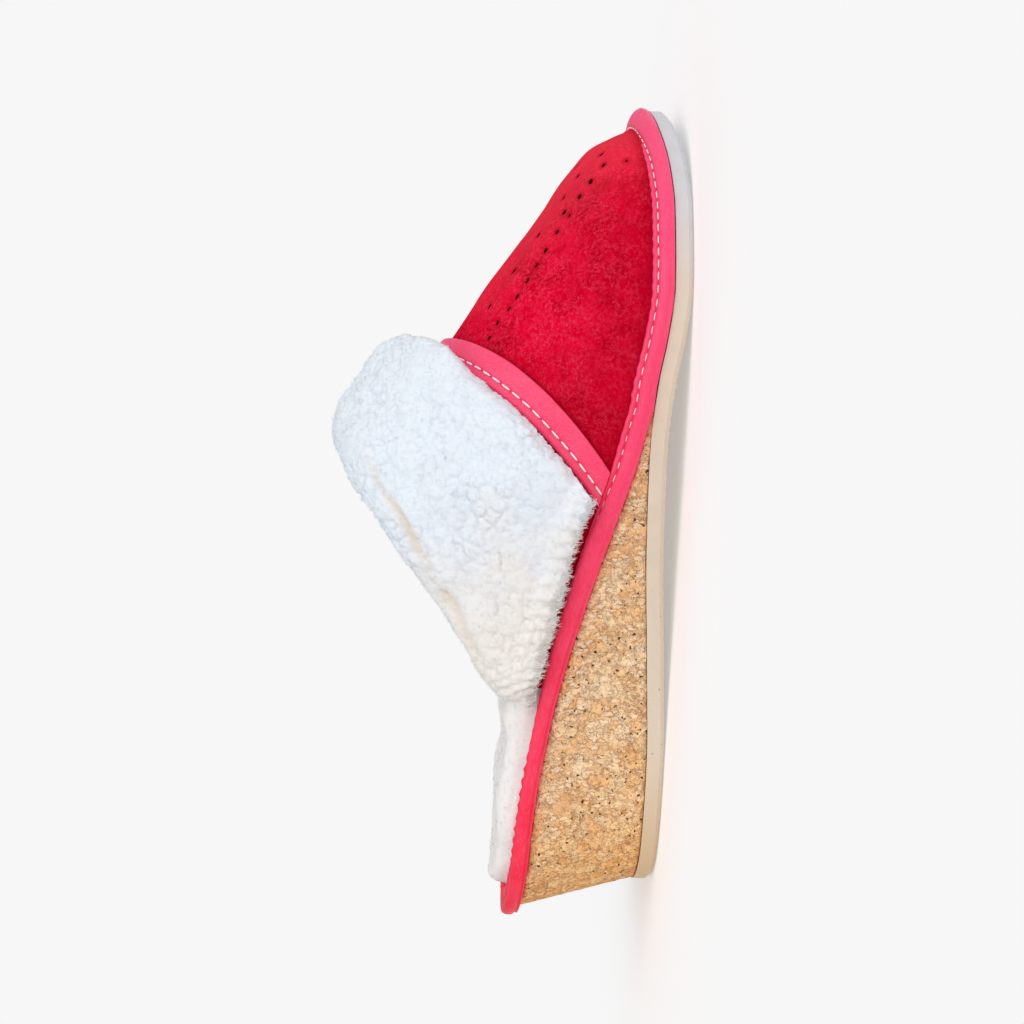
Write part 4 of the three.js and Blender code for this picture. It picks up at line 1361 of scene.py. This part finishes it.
@dataclass
class Fleece:
    """Curly wool on a body: soft clumps pushed out of a fine mesh, with fibres lying over them."""

    clump: float
    height: float
    seed: int

    @staticmethod
    def scatter(points: Points, spacing: float, rng: np.random.Generator) -> Points:
        """Picks points that lie at least a spacing apart."""
        grid: dict[tuple[int, int, int], list[int]] = {}
        kept: list[int] = []
        cells = np.floor(points / spacing).astype(int)
        for i in rng.permutation(len(points)):
            a, b, c = cells[i]
            near = [j for da in (-1, 0, 1) for db in (-1, 0, 1) for dc in (-1, 0, 1)
                    for j in grid.get((a + da, b + db, c + dc), ())]
            if not near or np.min(np.sum((points[near] - points[i]) ** 2, axis=1)) >= spacing ** 2:
                kept.append(i)
                grid.setdefault((a, b, c), []).append(i)
        return points[kept]

    def clumps(self, points: Points, spacing: float, rng: np.random.Generator) -> tuple[Values, Values]:
        """Measures how far points lie from the grooves between clumps.

        Args:
            points: The points, in metres.
            spacing: The distance between clumps in millimetres.
            rng: The source of the clumps' places.

        Returns:
            The distance to the nearest groove as a share of the spacing, and each point's clump number.
        """
        seeds = self.scatter(points, spacing * MM, rng)
        tree = kdtree.KDTree(len(seeds))
        for i, place in enumerate(seeds):
            tree.insert(place, i)
        tree.balance()
        gap, own = np.empty(len(points)), np.empty(len(points), int)
        for i, point in enumerate(points):
            here = Vector(point)
            bent = here + noise.noise_vector(here * (500 / spacing)) * (0.42 * spacing * MM)
            (_, own[i], first), (_, _, second) = tree.find_n(bent, 2)
            gap[i] = (second - first) / (spacing * MM)
        return gap, own

    def curl(self, piece: Piece, wave: float, keep: Values | float = 1.0,
             sink: Values | float = 0.0) -> None:
        """Pushes clumps out of a piece's surface and stores how deep each point lies between them.

        Args:
            piece: The piece, in metres, with an even fine mesh.
            wave: The height of the slow waves under the clumps, in millimetres.
            keep: How much of the relief each point keeps.
            sink: How far each point is sunk, in millimetres.
        """
        rng = np.random.default_rng(self.seed)
        points, normals = read_points(piece), read_normals(piece)
        large, who = self.clumps(points, self.clump, rng)
        small, _ = self.clumps(points, self.clump * 0.52, rng)
        lift = rng.uniform(0.4, 1.0, who.max() + 1)[who]
        slow = field(points, 95)
        calm = field(points, 60, (7, 1, 3))
        fine = field(points, 1000)
        torn = field(points, 330, (3, 8, 5))
        lively = np.clip(0.62 + 1.1 * calm, 0.25, 1)
        broken = np.clip(0.85 + 1.8 * torn, 0.3, 1)
        dome = 1 - broken * unit(1 - large / 0.95) ** 2
        bead = 1 - unit(1 - small / 0.9) ** 2
        push = self.height * lively * (dome * (0.4 + 0.6 * lift) + 0.42 * bead) + wave * slow + 0.14 * fine
        write_points(piece, points + normals * ((push * keep - sink) * MM)[:, None])
        # Painted shade stored for the grooves between clumps.
        groove = bell(large, 0.17) * (0.25 + 0.75 * lift) + 0.2 * bell(small, 0.16)
        write_attribute(piece, "painted_wool_shade", unit(groove * lively * broken))

    def fibres(self, piece: Piece, name: str, count: int, length: float, width: float, lean: float,
               pick: Callable[[Points, Points], Values], comb: Callable[[Points], Points] | None = None,
               wriggle: float = 2.4) -> Piece:
        """Grows closed, tapered, bent fibres out of a piece.

        Args:
            piece: The piece that they grow on.
            name: The new piece's name.
            count: How many fibres.
            length: Their mean length in millimetres.
            width: Their width at the root in millimetres.
            lean: How far they lie over, from 0 upright to 1 flat.
            pick: Gives for face middles and normals how likely a fibre grows there.
            comb: Gives for roots the direction that they are combed to, or None for swirls.
            wriggle: How far a fibre may turn on its way, in radians.

        Returns:
            The fibres as one piece.
        """
        rng = np.random.default_rng(self.seed + sum(map(ord, name)))
        total = len(piece.data.polygons)
        middle, normal, area = np.empty(total * 3), np.empty(total * 3), np.empty(total)
        piece.data.polygons.foreach_get("center", middle)
        piece.data.polygons.foreach_get("normal", normal)
        piece.data.polygons.foreach_get("area", area)
        middle, normal = middle.reshape(-1, 3), normal.reshape(-1, 3)
        chance = area * pick(middle, normal)
        chosen = rng.choice(total, count, p=chance / chance.sum())
        root, up = middle[chosen], normal[chosen]
        swirl = np.array([noise.noise_vector(Vector(p) * 300) for p in root])
        swirl += rng.normal(0, 0.25, swirl.shape)
        if comb is not None:
            swirl = comb(root) + 0.45 * swirl
        swirl -= up * np.sum(swirl * up, axis=1, keepdims=True)
        swirl /= np.maximum(np.linalg.norm(swirl, axis=1, keepdims=True), 1e-6)
        side = np.cross(up, swirl)
        size = length * MM * rng.uniform(0.55, 1.35, count)
        bend = rng.uniform(-wriggle, wriggle, count)
        bend = np.where(np.abs(bend) < 0.1, 0.1, bend)
        steps = (0, 0.5, 1)
        spine = np.zeros((count, len(steps), 3))
        for k, t in enumerate(steps):
            onward, sideways = np.sin(bend * t) / bend, (1 - np.cos(bend * t)) / bend
            flat = swirl * onward[:, None] + side * sideways[:, None]
            rise = (1 - lean) * t + 0.3 * lean * math.sin(math.pi * t)
            spine[:, k] = root + (flat * lean + up * rise) * size[:, None] - up * 0.15 * MM
        radius = width * MM / 2 * np.array([1, 0.85, 0.1])
        angles = np.array([math.pi / 2, 7 * math.pi / 6, 11 * math.pi / 6])
        across = np.cross(up, spine[:, 1] - spine[:, 0])
        across /= np.maximum(np.linalg.norm(across, axis=1, keepdims=True), 1e-12)
        ring = across[:, None] * np.cos(angles)[None, :, None]
        ring = ring + 0.4 * up[:, None] * np.sin(angles)[None, :, None]
        points = spine[:, :, None] + ring[:, None] * radius[None, :, None, None]
        single = [(0, 2, 1), (6, 7, 8)]
        for k in range(2):
            for a in range(3):
                b = (a + 1) % 3
                single.append((3 * k + a, 3 * k + b, 3 * k + 3 + b, 3 * k + 3 + a))
        made = solid_mesh(name, points.reshape(-1, 3), repeated(single, 9, count))
        # Painted shade, darkest at each fibre's root.
        write_attribute(made, "painted_wool_shade", np.tile(np.repeat([0.2, 0.05, 0], 3), count))
        outward(made)
        shade(made)
        return made


@dataclass
class Wool:
    """The cuff, the insole's pile and the lining inside the vamp."""

    cuff_clump: float = 3.2
    cuff_height: float = 0.95
    valley_at: float = -4.6
    valley_depth: float = 1.4
    lining_thickness: float = 1.6

    def build(self) -> None:
        """Makes the three woollen pieces with their fibres."""
        cuff = WoolFinish(hue(234, 242, 252), hue(243, 238, 232), hue(206, 204, 200), 88.0, 140.0)
        insole = WoolFinish(hue(243, 243, 243), hue(244, 241, 239), hue(214, 209, 200), 120.0, 160.0)
        self.cuff_finish = cuff.material("wool_cuff_white", 2.2)
        self.insole_finish = insole.material("wool_insole_cream", 2.2)
        self.cuff_nap = cuff.material("wool_cuff_nap", 0)
        self.insole_nap = insole.material("wool_insole_nap", 0)
        self.cuff()
        self.insole()
        self.lining()

    @staticmethod
    def even_body(node: str, name: str, voxel: float, rounds: int) -> Piece:
        """Copies a solid and gives it an even, softened mesh."""
        piece = copy_of(node, name)
        modify(piece, "REMESH", mode="VOXEL", voxel_size=voxel * MM)
        modify(piece, "SMOOTH", factor=0.5, iterations=rounds)
        modify(piece, "SUBSURF", levels=1, render_levels=1)
        return piece

    @staticmethod
    def behind_edge(points: Points) -> Values:
        """Returns how far ahead of the upper's open end points lie, square to it in side view."""
        local = LAST.local(points)
        run = LAST.sole_length * (COLLAR.rear_high[0] - COLLAR.rear_low[0])
        climb = LAST.instep_height * (COLLAR.rear_high[1] - COLLAR.rear_low[1])
        return (local[:, 0] - COLLAR.rear_x(local[:, 2])) * climb / math.hypot(run, climb)

    def valley(self, points: Points, normals: Points) -> Values:
        """Returns how deep points lie in the valley between the cuff's face and its rolled back edge."""
        local = LAST.local(points)
        outer = unit((np.abs(normals[:, 1]) - 0.05) / 0.2)
        outer *= np.sign(normals[:, 1]) == np.sign(local[:, 1] - LAST.ridge_side)
        wander = field(points, 75)
        broken = field(points, 140, (5, 2, 8))
        cut = bell(self.behind_edge(points) - self.valley_at - 2.4 * wander, 1.3)
        cut *= np.clip(0.75 + 1.3 * broken, 0.15, 1)
        span = unit((local[:, 2] - 50) / 16) * unit((90 - local[:, 2]) / 6)
        return cut * span * outer

    @staticmethod
    def settle(piece: Piece) -> None:
        """Draws the cuff's front edge back along the tape and its low rear corner forwards."""
        points, normals = read_points(piece), read_normals(piece)
        local = LAST.local(points)
        x, y, z = local.T
        rise = unit(COLLAR.rise(z))
        near = unit((x - COLLAR.back_x(z) + 12) / 12)
        ahead = 3.2 * unit((rise - 0.85) / 0.15) - 12.6 * rise * (1 - rise)
        above = LAST.above_rand(x, z)
        low = unit(1 - above / 14) * unit((70 - x) / 16)
        side = np.sign(y - LAST.ridge_side)
        outside = (side * normals[:, 1] > -0.2) & (above < 14)
        wide = np.abs(y - LAST.ridge_side)
        most = np.zeros_like(x)
        for middle in np.arange(40, 170, 4.0):
            for one in (-1, 1):
                here = outside & (side == one) & (np.abs(x - middle) < 4)
                if here.any():
                    most = np.where((side == one) & (np.abs(x - middle) <= 2), wide[here].max(), most)
        spread = np.clip(most - wide, 0, 6) * outside * unit((above + 1) / 1.2) * unit((11 - above) / 3)
        rear = unit((-3 - Wool.behind_edge(points)) / 5)
        rear *= unit((z - 40) / 8) * unit((84 - z) / 10)
        full = 2.5 * bell(x - 119, 12) * unit((z - 70) / 12)
        full += 2.3 * bell(x - 64, 15) * unit((above - 5) / 6)
        full *= unit(1.4 * (0.86 * normals[:, 2] - 0.51 * normals[:, 0]) + 0.1)
        low_pull = 6.0 * low * low * (3 - 2 * low)
        front_pull = ahead * near * near * (3 - 2 * near)
        points[:, 0] += (low_pull + front_pull - 1.0 * rear - 0.51 * full) * MM
        points[:, 1] += side * 0.85 * spread * MM
        points[:, 2] += (1.5 * rear + 0.86 * full) * MM
        write_points(piece, points)
        modify(piece, "SMOOTH", factor=0.5, iterations=3)

    def cuff(self) -> None:
        """Makes the wool cuff with its back-edge valley, its nap and the strands combed to the binding."""
        piece = self.even_body("wool_cuff", "wool_cuff_fleece", 1.15, 12)
        self.settle(piece)
        valley = self.valley(read_points(piece), read_normals(piece))
        fleece = Fleece(self.cuff_clump, self.cuff_height, 11)
        local = LAST.local(read_points(piece))
        above = LAST.above_rand(local[:, 0], local[:, 2])
        fleece.curl(piece, 0.8, 0.55 + 0.45 * unit((above - 4) / 10), self.valley_depth * valley)
        # The valley's darker, warmer tint is painted shade.
        write_attribute(piece, "cream", valley)
        shade(piece)
        wear(piece, self.cuff_finish)
        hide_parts("wool_cuff")
        for name in ("wool_cuff_nap_low", "wool_cuff_nap_over"):
            nap = fleece.fibres(piece, name, 14000, 1.4, 0.1, 0.78, lambda m, n: np.ones(len(m)))
            wear(nap, self.cuff_nap)

        def low(middle: Points, normal: Points) -> Values:
            """Picks the faces just above the binding, on the outside."""
            local = LAST.local(middle)
            edge = LAST.footbed(local[:, 0]) + LAST.edge(local[:, 0] / LAST.sole_length, 2)
            rise = local[:, 2] - edge
            outside = np.sign(normal[:, 1]) == np.sign(local[:, 1] - LAST.ridge_side)
            return bell(rise - 2.8, 1.6) * outside * (np.abs(normal[:, 1]) > 0.3) + 1e-9

        def down(root: Points) -> Points:
            """Combs strands down and a little forwards."""
            return np.tile([0.25, 0.0, -1.0], (len(root), 1))

        strands = fleece.fibres(piece, "wool_cuff_strands", 1800, 2.3, 0.22, 0.8, low, down, 1.4)
        wear(strands, self.cuff_nap)

    def insole(self) -> None:
        """Makes the wool-covered insole, whose pile is trodden smooth."""
        piece = self.even_body("insole", "insole_wool_pile", 1.3, 8)
        wool_foot = LAST.board_thickness + 0.8
        local = LAST.local(read_points(piece))
        keep = unit((local[:, 2] - LAST.footbed(local[:, 0]) - wool_foot) / 1.5)
        x = local[:, 0]
        swell = 2.6 * bell(x - 52, 7) - 1.2 * unit((28 - x) / 20) * unit((x + 6) / 8)
        points = read_points(piece)
        points[:, 2] += swell * keep * MM
        write_points(piece, points)
        fleece = Fleece(4.6, 0.4, 23)
        fleece.curl(piece, 1.0, keep)
        write_attribute(piece, "cream", np.zeros(len(local)))
        shade(piece)
        wear(piece, self.insole_finish)
        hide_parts("insole")

        def open_part(middle: Points, normal: Points) -> Values:
            """Picks the wool that shows behind the cuff."""
            place = LAST.local(middle)
            above = place[:, 2] - LAST.footbed(place[:, 0]) > wool_foot
            return above * (place[:, 0] < 120) + 1e-9

        nap = fleece.fibres(piece, "insole_nap", 5000, 1.3, 0.09, 0.88, open_part)
        wear(nap, self.insole_nap)

    def lining(self) -> None:
        """Makes the wool lining inside the upper."""

        def lay(u: Values, v: Values) -> Points:
            """Lays the lining's face inside the upper, short of the toe."""
            back = crossing(COLLAR.rear_x, 0.01 + 0.98 * v, -1)
            x = 218 + (back + 6 - 218) * u
            turn = np.pi * (0.01 + 0.98 * v)
            points = skin(x, turn)
            lump = np.array([noise.noise(Vector(p) / 2.6) + 0.6 * noise.noise(Vector(p) / 1.2)
                             for p in points])
            return points + skin_normals(x, turn) * (-(2.3 + 2.2 + 0.9 * lump))[:, None]

        piece = grid_sheet("lining_wool", 90, 130, lay)
        face_out(piece)
        modify(piece, "SOLIDIFY", thickness=self.lining_thickness * MM, offset=1)
        count = len(piece.data.vertices)
        # Painted shade over the whole lining.
        write_attribute(piece, "painted_wool_shade", np.full(count, 0.25))
        write_attribute(piece, "cream", np.zeros(count))
        shade(piece)
        wear(piece, self.insole_finish)


@dataclass
class Studio:
    """Camera, pale floor and soft lights."""

    distance: float = 550.0
    focal_pixels: float = 1826.0
    frame_pixels: float = 1024.0
    elevation: float = 2.0
    roll: float = 2.1
    aim: Triple = (110.1, -8.0, 46.0)
    backdrop: float = 0.93
    room_light: float = 0.55
    sun_light: float = 0.42
    sun_from: Triple = (0.3, -1.0, 0.85)
    floor_colour: float = 0.8

    def build(self) -> None:
        """Sets up the whole studio."""
        self.camera()
        self.floor()
        self.lights()

    def camera(self) -> None:
        """Looks at the shoe's outer side with the toe up in the picture, as the photograph does."""
        e, a = math.radians(self.elevation), math.radians(self.roll)
        back = Vector((0, -math.cos(e), math.sin(e)))
        toe = Vector((1, 0, 0))
        above = back.cross(toe)
        up = math.cos(a) * toe + math.sin(a) * above
        right = up.cross(back)
        data = bpy.data.cameras.new("photo_camera")
        data.sensor_width = 36
        data.lens = self.focal_pixels / self.frame_pixels * 36
        data.clip_start = 0.01
        camera = bpy.data.objects.new("photo_camera", data)
        bpy.context.scene.collection.objects.link(camera)
        place = Vector(LAST.place(np.array([self.aim]))[0]) + back * self.distance * MM
        rows = [(right[i], up[i], back[i], place[i]) for i in range(3)]
        camera.matrix_world = Matrix([*rows, (0, 0, 0, 1)])
        bpy.context.scene.camera = camera

    def floor(self) -> None:
        """Lays a pale floor that runs out into the backdrop."""
        deselect()
        bpy.ops.mesh.primitive_plane_add(size=40, location=(0, 0, -0.0002))
        floor = bpy.context.active_object
        floor.name = "floor"
        r = Recipe("floor_pale")
        r.finish((self.floor_colour, self.floor_colour, self.floor_colour, 1), 0.9)
        facing = Vector(self.sun_from).normalized().z
        lit = self.floor_colour * (self.room_light + self.sun_light * facing)
        r.shader.inputs["Specular IOR Level"].default_value = 0
        r.shader.inputs["Emission Color"].default_value = (1, 1, 1, 1)
        r.shader.inputs["Emission Strength"].default_value = self.backdrop - lit
        floor.data.materials.append(r.material)

    def lights(self) -> None:
        """Fills the room with even light and adds one very wide soft light from the outer side and above."""
        world = bpy.data.worlds.new("soft_room")
        world.use_nodes = True
        tree = world.node_tree
        sky = tree.nodes["Background"]
        path = tree.nodes.new("ShaderNodeLightPath")
        strength = tree.nodes.new("ShaderNodeMix")
        strength.inputs["A"].default_value = self.room_light
        strength.inputs["B"].default_value = self.backdrop
        tree.links.new(path.outputs["Is Camera Ray"], strength.inputs["Factor"])
        tree.links.new(strength.outputs["Result"], sky.inputs["Strength"])
        sky.inputs["Color"].default_value = (1, 1, 1, 1)
        bpy.context.scene.world = world
        data = bpy.data.lights.new("wide_light", "SUN")
        data.angle = math.radians(70)
        data.energy = self.sun_light * math.pi
        lamp = bpy.data.objects.new("wide_light", data)
        lamp.rotation_euler = Vector(self.sun_from).to_track_quat("Z", "Y").to_euler()
        bpy.context.scene.collection.objects.link(lamp)
        bpy.context.scene.view_settings.view_transform = "Standard"


def main() -> None:
    """Builds the studio and the shoe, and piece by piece."""
    logging.basicConfig(level=logging.INFO, format="%(name)s: %(message)s")
    noise.seed_set(NOISE_SEED)
    Studio().build()
    Sole().build()
    Rand().build()
    Upper().build()
    Wool().build()


if __name__ == "__main__":
    main()
